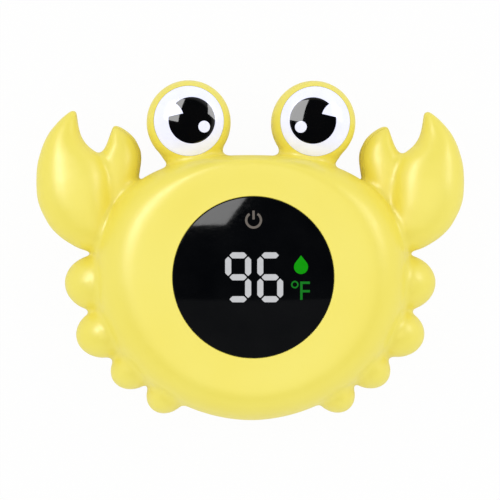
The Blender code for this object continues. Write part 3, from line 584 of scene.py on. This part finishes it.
def bodyLobe(shape, inset):
    # from the flat of the back over the seam to the crest and the dished face
    seam = bodyOutline(inset)
    flat = bodyOutline(inset + housing["backInset"])
    middle = Vector((0.0, screen["y"]))
    crest = [middle + (point - middle).normalized() * housing["crestRadius"] for point in seam]
    seamZ = housing["seamHeight"]
    rings = []
    bendSteps, dishSteps = 16, 8
    for n in range(bendSteps + 1):
        turn = math.radians(90.0 * n / bendSteps)
        height = seamZ - (seamZ + housing["backTrim"]) * math.cos(turn)
        rings.append([(*inner.lerp(outer, math.sin(turn)), height) for inner, outer in zip(flat, seam)])
    for n in range(1, bendSteps + 1):
        turn = math.radians(90.0 * n / bendSteps)
        spread = math.cos(turn) ** (2.0 / housing["shoulderPower"])
        lift = math.sin(turn) ** (2.0 / housing["shoulderPower"])
        height = seamZ + (housing["frontRise"] - inset) * lift
        rings.append([(*inner.lerp(outer, spread), height) for inner, outer in zip(crest, seam)])
    for n in range(1, dishSteps + 1):
        share = n / dishSteps
        radius = housing["crestRadius"] + (screen["lensRadius"] - housing["crestRadius"]) * share
        sink = housing["dish"] * (1.0 - math.cos(math.pi * share)) / 2.0
        height = seamZ + housing["frontRise"] - inset - sink
        rings.append([(*(middle + (p - middle).normalized() * radius), height) for p in crest])
    loft(shape, rings)


def splitRibs(ribs):
    # smooth ribs added between the given ones
    closer = []
    parts = housing["ribSplits"]
    for n in range(len(ribs) - 1):
        before, after = ribs[max(n - 1, 0)], ribs[min(n + 2, len(ribs) - 1)]
        for t in (k / parts for k in range(parts)):
            rib = []
            for a, b, c, d in zip(before, ribs[n], ribs[n + 1], after):
                bend = 2.0 * a - 5.0 * b + 4.0 * c - d
                rib.append(b + 0.5 * t * (c - a + t * (bend + t * (3.0 * (b - c) + d - a))))
            closer.append(rib)
    return closer + [ribs[-1]]


def limbLobe(shape, limb, side, inset):
    # a loft over ribs with full, rounded sections
    ribs, height, hang = limbs[limb]
    rings = []
    steps = 56
    for xOut, yOut, xIn, yIn, halfDepth in splitRibs(ribs):
        outer, inner = Vector((side * xOut, yOut)), Vector((side * xIn, yIn))
        middle, half = (outer + inner) / 2.0, (outer - inner) / 2.0
        width, depth = half.length - inset, halfDepth - inset
        if min(width, depth) < housing["ribLeast"]:
            continue
        ring = []
        for turn in (2.0 * math.pi * n / steps for n in range(steps)):
            reach = width * signedPower(math.cos(turn), 2.0 / housing["ribPower"])
            lift = depth * signedPower(math.sin(turn), 2.0 / housing["ribPower"])
            drop = hang * (0.5 + 0.5 * reach / width)
            ring.append((*(middle + half.normalized() * reach), height + lift - drop))
        rings.append(ring)
    loft(shape, rings)


def legLobe(shape, bump, side, inset):
    x, y, halfLength, halfWidth, turn = bump
    depth = legs["halfDepth"] - inset
    matrix = Matrix.Translation((side * x, y, legs["height"]))
    matrix = matrix @ Euler((0.0, 0.0, math.radians(side * turn))).to_matrix().to_4x4()
    matrix = matrix @ Matrix.Diagonal((halfLength - inset, halfWidth - inset, depth, 1.0))
    bmesh.ops.create_uvsphere(shape, u_segments=64, v_segments=40, radius=1.0, matrix=matrix)


def eyeLobe(shape, side, inset):
    front = eyes["halfDepth"] if inset == 0.0 else eyeBackHeight - eyes["seatGap"] - inset - eyes["z"]
    profile = []
    steps = 32
    for n in range(steps + 1):
        turn = math.radians(90.0 - 180.0 * n / steps)
        radius = (eyes["ringRadius"] - inset) * abs(math.cos(turn)) ** (2.0 / eyes["power"])
        lift = signedPower(math.sin(turn), 2.0 / eyes["power"])
        reach = front if lift > 0.0 else eyes["halfDepth"] - inset
        profile.append((radius if 0 < n < steps else 0.0, eyes["z"] + lift * reach))
    barrel = lathe("barrel", profile, (side * eyes["x"], eyes["y"]), 80)
    shape.from_mesh(barrel.data)
    bpy.data.objects.remove(barrel, do_unlink=True)


def filletCreases(form):
    # the hollow creases are found by how far neighbours stand over a point, and smoothed further
    shape = bmesh.new()
    shape.from_mesh(form.data)
    shape.verts.ensure_lookup_table()
    least = housing["grid"] ** 2 / (2.0 * housing["creaseRadius"])
    hollow = []
    for vert in shape.verts:
        others = [edge.other_vert(vert).co for edge in vert.link_edges]
        over = sum(((other - vert.co) for other in others), Vector()) / len(others)
        hollow.append(min(max(over.dot(vert.normal) / least, 0.0), 1.0))
    for spread in range(housing["creaseSpread"]):
        wider = []
        for vert in shape.verts:
            around = [hollow[edge.other_vert(vert).index] * housing["creaseFade"] for edge in vert.link_edges]
            wider.append(max(around + [hollow[vert.index]]))
        hollow = wider
    shape.free()
    creases = form.vertex_groups.new(name="creases")
    for index, weight in enumerate(hollow):
        if weight > housing["creaseLeast"]:
            creases.add([index], weight, "REPLACE")
    fillet = form.modifiers.new("fillet", "SMOOTH")
    fillet.vertex_group = "creases"
    fillet.factor = 0.5
    fillet.iterations = housing["filletRounds"]
    form.data = bakedMesh(form)
    form.vertex_groups.clear()


def crabForm(name, inset, grid):
    # all lobes fused into one skin, with its creases softened
    shape = bmesh.new()
    bodyLobe(shape, inset)
    for side in (-1, 1):
        for limb in limbs:
            limbLobe(shape, limb, side, inset)
        eyeLobe(shape, side, inset)
        for bump in legs["bumps"]:
            legLobe(shape, bump, side, inset)
    mesh = bpy.data.meshes.new(name)
    shape.to_mesh(mesh)
    shape.free()
    form = newPiece(name, mesh)
    fuse = form.modifiers.new("fuse", "REMESH")
    fuse.mode = "VOXEL"
    fuse.voxel_size = grid
    soften = form.modifiers.new("soften", "SMOOTH")
    soften.factor = 0.5
    soften.iterations = round((2.0 * housing["creaseSoftness"] / grid) ** 2)
    form.data = bakedMesh(form)
    if inset == 0.0:
        filletCreases(form)
    return form


def lipCutter(name, at, radius, floor, top, lip, steps=128):
    # a round pocket whose mouth flares into a soft lip at the height top
    flareSteps, clear = 5, 0.004
    flare = [(radius + lip * (1.0 - math.cos(a)), top - lip * (1.0 - math.sin(a)))
             for a in (math.radians(90.0 * n / flareSteps) for n in range(flareSteps + 1))]
    mouth = top + clear
    profile = [(0.0, mouth), (radius + lip, mouth), (radius + lip, top)] + list(reversed(flare[:-1]))
    return lathe(name, profile + [(radius, floor), (0.0, floor)], at, steps)


def makeHousing():
    outside = crabForm("outside", 0.0, housing["grid"])
    inside = crabForm("inside", housing["wall"], housing["hollowGrid"])
    wall, seam = housing["wall"], housing["seamHeight"]
    carve(inside, [("INTERSECT", block("innerTrim", wall, faceHeight - wall - housing["dish"]))], "MANIFOLD")
    carve(outside, [("DIFFERENCE", inside)], "MANIFOLD")
    print("crab form:", len(outside.data.polygons), "faces")

    at = (0.0, screen["y"])
    hole = screen["lensRadius"] + screen["fit"]
    top = faceHeight + screen["rise"] + wall
    front = newPiece("frontHousing", outside.data.copy(), yellowPlastic)
    steps = [("INTERSECT", block("frontHalf", seam + housing["seamGap"] / 2.0, top))]
    seatLow, ledge = screen["ledge"] - screen["seatDepth"], screen["ledge"]
    seat = slab("seat", [disc(at, hole + wall, 128)], seatLow, faceHeight - wall / 2.0)
    steps.append(("UNION", seat))
    for turn in (45, 135, 225, 315):
        circle = screen["postCircle"]
        spot = (circle * math.cos(math.radians(turn)), at[1] + circle * math.sin(math.radians(turn)))
        post = slab("post", [disc(spot, screen["postRadius"], 32)], screen["postFoot"], ledge - wall / 2.0)
        boreTop = screen["postFoot"] + screen["postBoreDepth"]
        bore = slab("bore", [disc(spot, screen["postBore"], 24)], screen["postFoot"] - wall, boreTop)
        steps += [("UNION", post), ("DIFFERENCE", bore)]
    steps.append(("DIFFERENCE", lipCutter("lensPocket", at, hole, ledge, faceHeight, screen["lipRound"])))
    through = slab("through", [disc(at, screen["throughRadius"], 128)], seatLow - wall, faceHeight)
    steps.append(("DIFFERENCE", through))
    for side in (-1, 1):
        lipTop = eyeEdgeHeight + eyes["whiteSet"]
        spot = (side * eyes["x"], eyes["y"])
        floor = eyeBackHeight - eyes["seatGap"]
        pocket = lipCutter("eyePocket", spot, eyeHoleRadius, floor, lipTop, eyes["lipRound"])
        steps.append(("DIFFERENCE", pocket))
    carve(front, steps, "MANIFOLD")
    settle(softNormals(front), "yellow_plastic", "front_shell")

    rear = newPiece("rearHousing", outside.data.copy(), yellowPlastic)
    steps = [("INTERSECT", block("rearHalf", 0.0, seam - housing["seamGap"] / 2.0))]
    return front, rear, steps, outside


back = {
    "chargeY": 0.0045,
    "chargeRadius": 0.0068,
    "chargeDepth": 0.0012,
    "bossWall": 0.0018,
    "contactSpacing": 0.0050,
    "contactHole": 0.0018,
    "magnetOffset": 0.0042,
    "magnetHole": 0.0023,
    "magnetSkin": 0.0008,
    "trayInner": (0.0346, 0.0186),
    "trayWall": 0.0012,
    "trayHeight": 0.0030,
    "sensorHole": 0.0039,
}


def finishRear(rear, steps, outside):
    wall = housing["wall"]
    charge = (0.0, back["chargeY"])
    bossTop = back["chargeDepth"] + wall
    boss = slab("boss", [disc(charge, back["chargeRadius"] + back["bossWall"], 64)], wall / 2.0, bossTop)
    steps.append(("UNION", boss))
    low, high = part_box("battery")
    middle = (0.0, (low.y + high.y) / 2.0)
    halfX, halfY = back["trayInner"][0] / 2.0, back["trayInner"][1] / 2.0
    inner = [(x * halfX, middle[1] + y * halfY) for x, y in ((-1, -1), (1, -1), (1, 1), (-1, 1))]
    tray = slab("tray", [grown(inner, back["trayWall"]), inner], wall / 2.0, wall + back["trayHeight"])
    steps.append(("UNION", tray))
    seat = slab("chargeSeat", [disc(charge, back["chargeRadius"], 96)], -wall, back["chargeDepth"])
    steps.append(("DIFFERENCE", seat))
    for side in (-1, 1):
        spot = (side * back["contactSpacing"] / 2.0, charge[1])
        hole = slab("contactHole", [disc(spot, back["contactHole"], 32)], 0.0, 2.0 * bossTop)
        steps.append(("DIFFERENCE", hole))
        spot = (0.0, charge[1] + side * back["magnetOffset"])
        floor = back["chargeDepth"] + back["magnetSkin"]
        hole = slab("magnetHole", [disc(spot, back["magnetHole"], 32)], floor, 2.0 * bossTop)
        steps.append(("DIFFERENCE", hole))
    low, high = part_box("sensor_cap")
    spot = (0.0, (low.y + high.y) / 2.0)
    hole = slab("sensorHole", [disc(spot, back["sensorHole"], 64)], -wall, 2.0 * wall)
    steps.append(("DIFFERENCE", hole))
    carve(rear, steps, "MANIFOLD")
    settle(softNormals(rear), "yellow_plastic", "rear_shell")
    bpy.data.objects.remove(outside, do_unlink=True)


front, rear, rearSteps, outside = makeHousing()
finishRear(rear, rearSteps, outside)
print("housing made:", len(front.data.polygons), "and", len(rear.data.polygons), "faces")


# display
marks = {
    "digitWidth": 0.0070,
    "digitHeight": 0.0135,
    "stroke": 0.0016,
    "joint": 0.00035,
    "digitY": -0.0075,
    "tensX": -0.0042,
    "unitsX": 0.0045,
    "corner": 0.0002,
    "dropX": 0.0129,
    "dropY": -0.0041,
    "dropRadius": 0.0019,
    "dropHeight": 0.0050,
    "unitX": 0.0112,
    "unitY": -0.0095,
    "degreeRadius": 0.0010,
    "degreeHole": 0.0006,
    "letterX": 0.0127,
    "letterTop": -0.0087,
    "letterHeight": 0.0049,
    "letterWidth": 0.0026,
    "letterStroke": 0.0006,
    "letterArm": 0.0023,
    "powerY": 0.0080,
    "powerRadius": 0.0020,
    "powerStroke": 0.0006,
    "powerGap": 33.0,
    "powerBar": 0.0024,
    "powerRingCorner": 0.0001,
    "powerBarCorner": 0.00015,
    "gap": 0.00004,
    "foot": 0.0006,
    "root": 0.0006,
    "windowOver": 0.0010,
}


def barOutline(centre, length, width, upright):
    reach, half = length / 2.0, width / 2.0
    points = [(-reach, 0.0), (half - reach, -half), (reach - half, -half)]
    points += [(reach, 0.0), (reach - half, half), (half - reach, half)]
    if upright:
        points = [(-y, x) for x, y in points]
    return rounded([(centre[0] + x, centre[1] + y) for x, y in points], marks["corner"])


def digitOutlines(x, bars):
    column = (marks["digitWidth"] - marks["stroke"]) / 2.0
    row = (marks["digitHeight"] - marks["stroke"]) / 2.0
    flat, tall = 2.0 * (column - marks["joint"]), row - 2.0 * marks["joint"]
    places = {
        "a": (0.0, row, False), "b": (column, row / 2.0, True), "c": (column, -row / 2.0, True),
        "d": (0.0, -row, False), "e": (-column, -row / 2.0, True), "f": (-column, row / 2.0, True),
        "g": (0.0, 0.0, False),
    }
    outlines = []
    for name in bars:
        right, up, upright = places[name]
        spot = (x + right, marks["digitY"] + up)
        outlines.append(barOutline(spot, tall if upright else flat, marks["stroke"], upright))
    return outlines


def dropOutline():
    tip = marks["dropHeight"] - marks["dropRadius"]
    centre = (marks["dropX"], marks["dropY"] - marks["dropHeight"] / 2.0 + marks["dropRadius"])
    start = math.degrees(math.asin(marks["dropRadius"] / tip))
    points = arcPoints(centre, marks["dropRadius"], 180.0 - start, 360.0 + start, 40)
    return [points + [(centre[0], centre[1] + tip)]]


def unitOutlines():
    ring = disc((marks["unitX"], marks["unitY"]), marks["degreeRadius"], 40)
    hole = disc((marks["unitX"], marks["unitY"]), marks["degreeHole"], 32)
    left, width, stroke = marks["letterX"], marks["letterWidth"], marks["letterStroke"]
    top = marks["letterTop"]
    low, arm = top - marks["letterHeight"], top - marks["letterArm"]
    letter = [
        (left, low), (left + stroke, low), (left + stroke, arm - stroke),
        (left + width, arm - stroke), (left + width, arm), (left + stroke, arm),
        (left + stroke, top - stroke), (left + width, top - stroke),
        (left + width, top), (left, top),
    ]
    return [ring, hole, letter]


def powerOutlines():
    centre = (0.0, marks["powerY"])
    outer = marks["powerRadius"] + marks["powerStroke"] / 2.0
    inner = marks["powerRadius"] - marks["powerStroke"] / 2.0
    gap, half = marks["powerGap"], marks["powerStroke"] / 2.0
    ring = arcPoints(centre, outer, 90.0 + gap, 450.0 - gap, 48)
    ring += arcPoints(centre, inner, 450.0 - gap, 90.0 + gap, 48)
    top = marks["powerY"] + marks["powerRadius"] + marks["powerBar"] / 4.0
    low = top - marks["powerBar"]
    bar = [(-half, low), (half, low), (half, top), (-half, top)]
    return [rounded(ring, marks["powerRingCorner"]), rounded(bar, marks["powerBarCorner"])]


def capPoints(radius, rise, edge, back, edgeRound, steps):
    # a ball cap of that rise over a rounded edge and a flat back
    flat = radius - edgeRound
    ball = (flat**2 + rise**2) / (2.0 * rise)
    widest = math.asin(flat / ball)
    edgeSteps = 4 if edgeRound else 0
    points = []
    for n in range(steps + 1):
        turn = widest * n / steps
        points.append((ball * math.sin(turn), edge + rise - ball * (1.0 - math.cos(turn))))
    for n in range(1, edgeSteps + 1):
        turn = widest + (math.pi / 2.0 - widest) * n / edgeSteps
        points.append((flat + edgeRound * (math.sin(turn) - math.sin(widest)) / (1.0 - math.sin(widest)),
                       edge - edgeRound * (math.cos(widest) - math.cos(turn))))
    return points + [(radius, back), (0.0, back)], Vector((0.0, 0.0, edge + rise - ball))


def makeDisplay():
    backHeight = lensEdgeHeight - screen["edge"]
    radius = screen["lensRadius"]
    points, ball = capPoints(radius, screen["rise"], lensEdgeHeight, backHeight, screen["edgeRound"], 22)
    ball.y = screen["y"]
    at = (0.0, screen["y"])
    sets = {
        "tensMark": ("tens_light_guide", digitOutlines(marks["tensX"], "abcdfg"), digitWhite, "digit_white"),
        "unitsMark": ("units_light_guide", digitOutlines(marks["unitsX"], "acdefg"), digitWhite,
                      "digit_white"),
        "dropMark": ("drop_light_guide", dropOutline(), signGreen, "sign_green"),
        "unitMark": ("unit_light_guide", unitOutlines(), unitGreen, "sign_green"),
        "powerMark": ("power_light_guide", powerOutlines(), signGrey, "sign_grey"),
    }
    top = lensEdgeHeight + 2.0 * screen["rise"]
    lens = lathe("displayLens", points, at, 144, lensBlack)
    windows = []
    for node, outlines, finish, slotName in sets.values():
        windows += [grown(outline, marks["gap"]) for outline in outlines]
    cutter = slab("windows", windows, backHeight - marks["windowOver"], top)
    carve(lens, [("DIFFERENCE", cutter)], "EXACT")
    settle(domeNormals(lens, ball), "lens_black", "display_lens")
    for name, (node, outlines, finish, slotName) in sets.items():
        low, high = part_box(node)
        mark = slab(name, outlines, (low.z + high.z) / 2.0 - marks["root"], top)
        dome = lathe("markDome", points[:-2] + [(radius, low.z), (0.0, low.z)], at, 144)
        carve(mark, [("INTERSECT", dome)], "EXACT")
        plate = [(low.x, low.y), (high.x, low.y), (high.x, high.y), (low.x, high.y)]
        carve(mark, [("UNION", slab("plate", [plate], low.z, low.z + marks["foot"]))], "EXACT")
        mark.data.materials.clear()
        mark.data.materials.append(finish.material)
        settle(domeNormals(mark, ball), slotName, node)


def makeGasket(finish):
    # a foam ring under the rim of the lens
    low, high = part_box("lens_gasket")
    outer, hollow = screen["lensRadius"] - screen["gasketGap"], screen["gasketInner"]
    profile = [(outer, high.z), (outer, low.z), (hollow, low.z), (hollow, high.z)]
    gasket = lathe("lensGasket", profile, (0.0, screen["y"]), 128, finish, True)
    settle(softNormals(gasket), "black_foam", "lens_gasket")


makeDisplay()
print("display made")


# eyes
def pupilOutline(side, grow):
    # a disc with a wedge bitten out of its upper outer side
    radius = eyes["pupilRadius"] + grow
    centre = (side * (eyes["x"] - eyes["pupilInward"]), eyes["y"])
    rim = arcPoints((0.0, 0.0), radius, eyes["notchTop"], 360.0 + eyes["notchSide"], 90)
    tip = Vector(eyes["notchTip"])
    start = Vector(rim[0])
    bend = (start + tip) / 2.0 + Vector((-1.0, 1.0)).normalized() * eyes["notchBulge"]
    curve = [tip.lerp(bend, t).lerp(bend.lerp(start, t), t) for t in (n / 8 for n in range(8))]
    points = rim + [(p.x, p.y) for p in curve]
    if side < 0:
        points = [(-x, y) for x, y in reversed(points)]
    return [(centre[0] + x, centre[1] + y) for x, y in points]


def makeEye(side, word):
    at = (side * eyes["x"], eyes["y"])
    points, ball = capPoints(eyes["whiteRadius"], eyes["rise"], eyeEdgeHeight, eyeBackHeight, 0.0, 26)
    ball.x, ball.y = at
    top = eyeEdgeHeight + 2.0 * eyes["rise"]
    gap = eyes["printGap"]
    pupilFloor = eyeEdgeHeight + eyes["pupilFloor"]
    glintFloor = eyeEdgeHeight + eyes["glintFloor"]
    glintAt = (side * (eyes["x"] - eyes["pupilInward"] - eyes["glintInward"]), eyes["y"] - eyes["glintBelow"])
    outline = pupilOutline(side, 0.0)
    white = lathe(word + "EyeWhite", points, at, 128, eyeWhite)
    carve(white, [("DIFFERENCE", slab("pupilPocket", [grown(outline, gap)], pupilFloor, top))], "EXACT")
    pupil = lathe(word + "Pupil", points, at, 128, pupilBlack)
    blank = slab("pupilBlank", [outline], pupilFloor + gap, top)
    pocket = slab("glintPocket", [disc(glintAt, eyes["glintRadius"] + gap, 48)], glintFloor, top)
    carve(pupil, [("INTERSECT", blank), ("DIFFERENCE", pocket)], "EXACT")
    glint = lathe(word + "Glint", points, at, 128, eyeWhite)
    blank = slab("glintBlank", [disc(glintAt, eyes["glintRadius"], 48)], glintFloor + gap, top)
    carve(glint, [("INTERSECT", blank)], "EXACT")
    settle(domeNormals(white, ball), "eye_white", word + "_eye_white")
    settle(domeNormals(pupil, ball), "pupil_black", word + "_pupil")
    settle(domeNormals(glint, ball), "eye_white", word + "_glint")


makeEye(-1, "left")
makeEye(1, "right")
print("eyes made")


# inner pieces keep their solids and get their finishes
# slot: kind of finish, name and two colours, then roughness range, grain scale and, last,
# the grain's depth for a matt one or how metallic a metal is
innerFinishes = {
    "black_foam": (mattFinish, "blackFoam", colour(40, 40, 41), colour(26, 26, 27),
        (0.85, 0.98), 1600.0, 0.00006),
    "reflector_white": (mattFinish, "reflectorWhite", colour(232, 232, 228), colour(240, 240, 238),
        (0.45, 0.6), 700.0, 0.00001),
    "board_green": (mattFinish, "boardGreen", colour(18, 92, 46), colour(26, 110, 58),
        (0.32, 0.5), 900.0, 0.000008),
    "steel": (metalFinish, "steel", colour(205, 206, 208), colour(182, 183, 187),
        (0.18, 0.34), 500.0),
    "gold_plate": (metalFinish, "goldPlate", colour(232, 196, 118), colour(214, 172, 92),
        (0.16, 0.3), 900.0),
    "battery_foil": (metalFinish, "batteryFoil", colour(196, 197, 200), colour(172, 174, 178),
        (0.32, 0.5), 260.0, 0.85),
    "black_rubber": (mattFinish, "blackRubber", colour(30, 30, 31), colour(22, 22, 23),
        (0.62, 0.8), 1500.0, 0.00001),
    "thermistor_bead": (mattFinish, "thermistorBead", colour(52, 36, 24), colour(34, 24, 18),
        (0.25, 0.4), 1500.0, 0.000008),
}
inner = {slot: recipe[0](*recipe[1:]) for slot, recipe in innerFinishes.items()}
slotOf = {part["node"]: part["material_slot"] for part in frame["record"]["subparts"]}
for node, item in frame["nodes"].items():
    if slotOf[node] in inner:
        item.data.materials.clear()
        item.data.materials.append(inner[slotOf[node]].material)
makeGasket(inner["black_foam"])
print("inner pieces finished")


# stage, light and camera
stage = {
    "floorSize": 3.0,
    "floor": colour(246, 246, 245),
    "floorWash": 0.96,
    "fill": 0.86,
    # how bright gloss sees the studio overhead, and the heights it darkens between
    "overhead": 0.012,
    "horizon": (0.28, 0.62),
    # direction towards the lamp and radiance; gloss doesn't see these
    "boxes": (((-1.0, 0.35, 1.0), 0.6), ((1.4, 0.45, 1.0), 0.6)),
    "boxSize": 0.60,
    "boxDistance": 0.9,
    "boxTarget": (0.0, 0.0, 0.02),
    # what gloss sees instead, level over the object: x, y, width, depth, roll in degrees, radiance
    "shineHeight": 0.5,
    "housingShines": (
        (-0.36, 0.36, 0.32, 0.60, -10.0, 10.0),
        (0.82, 0.45, 0.36, 0.62, -19.0, 8.0),
    ),
    "eyeShines": (
        (-0.47, 0.41, 0.60, 0.66, -10.0, 4.4),
        (0.86, 0.45, 0.60, 0.62, -19.0, 4.4),
    ),
    # one over the object that only the housing mirrors: width, depth, height and radiance
    "veil": (0.8, 0.6, 0.7, 1.1),
    # small cards that only the lens mirrors: corner, two edge directions with lengths, radiance
    "cards": (
        ((-0.0753, 0.2115, 1.0), (-1.0, -0.2115, -1.0), 0.22, (0.962, 1.0, -1.174), 0.18, 4.3),
        ((0.60, -0.114, 1.0), (-1.0, 0.0, 0.0), 1.10, (0.0, -1.0, -0.114), 0.70, 0.09),
    ),
    "cardDistance": 0.6,
}
camera = {
    "focal": 128.0,
    "distance": 0.499,
    "swing": 2.33,
    "middle": (-0.0003, -0.0001, 0.015),
}


def makeFloor():
    half = stage["floorSize"] / 2.0
    shape = bmesh.new()
    corners = [shape.verts.new((x * half, y * half, 0.0)) for x, y in ((-1, -1), (1, -1), (1, 1), (-1, 1))]
    shape.faces.new(corners)
    bmesh.ops.subdivide_edges(shape, edges=shape.edges, cuts=12, use_grid_fill=True)
    mesh = bpy.data.meshes.new("studioFloor")
    shape.to_mesh(mesh)
    shape.free()
    finish = Finish("paperFloor")
    fibre = finish.noise(220.0, 4.0)
    darker = tuple(v * 0.985 for v in stage["floor"][:3]) + (1.0,)
    finish.set(Base_Color=finish.blendColours(fibre, darker, stage["floor"]),
               Roughness=finish.spread(fibre, 0.75, 0.9), Normal=finish.bump(fibre, 0.00002))
    path = finish.add("ShaderNodeLightPath", {}, {}, "Is Camera Ray")
    wash = finish.add("ShaderNodeEmission", {}, {"Color": (1.0, 1.0, 1.0, 1.0), "Strength": 1.0})
    lit = Wire(finish, finish.shader.outputs[0])
    mixed = finish.add("ShaderNodeMixShader", {}, {0: path * stage["floorWash"], 1: lit, 2: wash})
    output = finish.tree.nodes["Material Output"]
    finish.tree.links.new(mixed.socket, output.inputs["Surface"])
    floor = newPiece("studioFloor", mesh, finish)


def makeWorld():
    # white where the camera or a mirror looks along the floor, a dark card overhead, soft fill for the rest
    world = bpy.data.worlds.new("studio")
    world.use_nodes = True
    bpy.context.scene.world = world
    sky = Finish("studio", world.node_tree)
    towards = sky.add("ShaderNodeTexCoord", {}, {}, "Generated")
    parts = sky.add("ShaderNodeSeparateXYZ", {}, {0: towards}, 2)
    horizon = sky.spread(parts, 1.0, stage["overhead"], *stage["horizon"])
    seen = sky.add("ShaderNodeLightPath", {}, {}, "Is Camera Ray")
    glossy = sky.add("ShaderNodeLightPath", {}, {}, "Is Glossy Ray")
    through = sky.add("ShaderNodeLightPath", {}, {}, "Is Transmission Ray")
    mirrored = glossy + through
    strength = seen + (1.0 - seen) * (mirrored * horizon + (1.0 - mirrored) * stage["fill"])
    background = world.node_tree.nodes["Background"]
    sky.plug(background.inputs["Color"], (1.0, 1.0, 1.0, 1.0))
    sky.plug(background.inputs["Strength"], strength)


def aim(item, spot, target, up):
    backwards = (Vector(spot) - Vector(target)).normalized()
    right = Vector(up).cross(backwards).normalized()
    upright = backwards.cross(right)
    item.matrix_world = Matrix.Translation(spot) @ Matrix((right, upright, backwards)).transposed().to_4x4()


def makeLamp(name, width, height, radiance):
    lamp = bpy.data.lights.new(name, "AREA")
    lamp.shape = "RECTANGLE"
    lamp.size = width
    lamp.size_y = height
    lamp.energy = radiance * math.pi * width * height
    item = bpy.data.objects.new(name, lamp)
    bpy.context.scene.collection.objects.link(item)
    item.visible_camera = False
    return item


def shownIn(name, *pieces):
    # the pieces that a lamp's reflection shows in
    kept = bpy.data.collections.new(name)
    for piece in pieces:
        kept.objects.link(bpy.data.objects[piece])
    return kept


def makeLights():
    size = stage["boxSize"]
    for n, (towards, radiance) in enumerate(stage["boxes"]):
        item = makeLamp("softBox%d" % (n + 1), size, size, radiance)
        item.visible_glossy = False
        aim(item, Vector(towards).normalized() * stage["boxDistance"], stage["boxTarget"], (0.0, 0.0, 1.0))
    housingOnly = shownIn("shownInHousing", "frontHousing")
    eyePieces = [word + part for word in ("left", "right") for part in ("EyeWhite", "Pupil", "Glint")]
    eyesOnly = shownIn("shownInEyes", *eyePieces)
    for word, receivers in (("housing", housingOnly), ("eye", eyesOnly)):
        for n, (x, y, width, depth, roll, radiance) in enumerate(stage[word + "Shines"]):
            item = makeLamp("%sShine%d" % (word, n + 1), width, depth, radiance)
            item.visible_diffuse = False
            item.light_linking.receiver_collection = receivers
            item.location = (x, y, stage["shineHeight"])
            item.rotation_euler = (0.0, 0.0, math.radians(roll))
    width, depth, height, radiance = stage["veil"]
    item = makeLamp("veil", width, depth, radiance)
    item.visible_diffuse = False
    item.location = (0.0, 0.0, height)
    item.light_linking.receiver_collection = housingOnly
    mirrored = shownIn("shownInLens", "displayLens")
    middle = Vector((0.0, screen["y"], lensEdgeHeight))
    for n, (corner, across, width, up, height, radiance) in enumerate(stage["cards"]):
        item = makeLamp("lensCard%d" % (n + 1), width, height, radiance)
        item.light_linking.receiver_collection = mirrored
        x, y = Vector(across).normalized(), Vector(up).normalized()
        spot = middle + Vector(corner).normalized() * stage["cardDistance"]
        spot += x * width / 2.0 + y * height / 2.0
        z = x.cross(y)
        if z.dot(spot - middle) < 0.0:
            x, z = -x, -z
        item.matrix_world = Matrix.Translation(spot) @ Matrix((x, y, z)).transposed().to_4x4()


def makeCamera():
    lens = bpy.data.cameras.new("view")
    lens.lens = camera["focal"]
    lens.sensor_width = 36.0
    lens.clip_start = 0.01
    item = bpy.data.objects.new("view", lens)
    bpy.context.scene.collection.objects.link(item)
    swing = math.radians(camera["swing"])
    target = Vector(camera["middle"])
    spot = target + Vector((-math.sin(swing), 0.0, math.cos(swing))) * camera["distance"]
    aim(item, spot, target, (0.0, 1.0, 0.0))
    bpy.context.scene.camera = item


makeFloor()
makeWorld()
makeLights()
makeCamera()
bpy.context.scene.view_settings.view_transform = "Standard"
print("stage set")
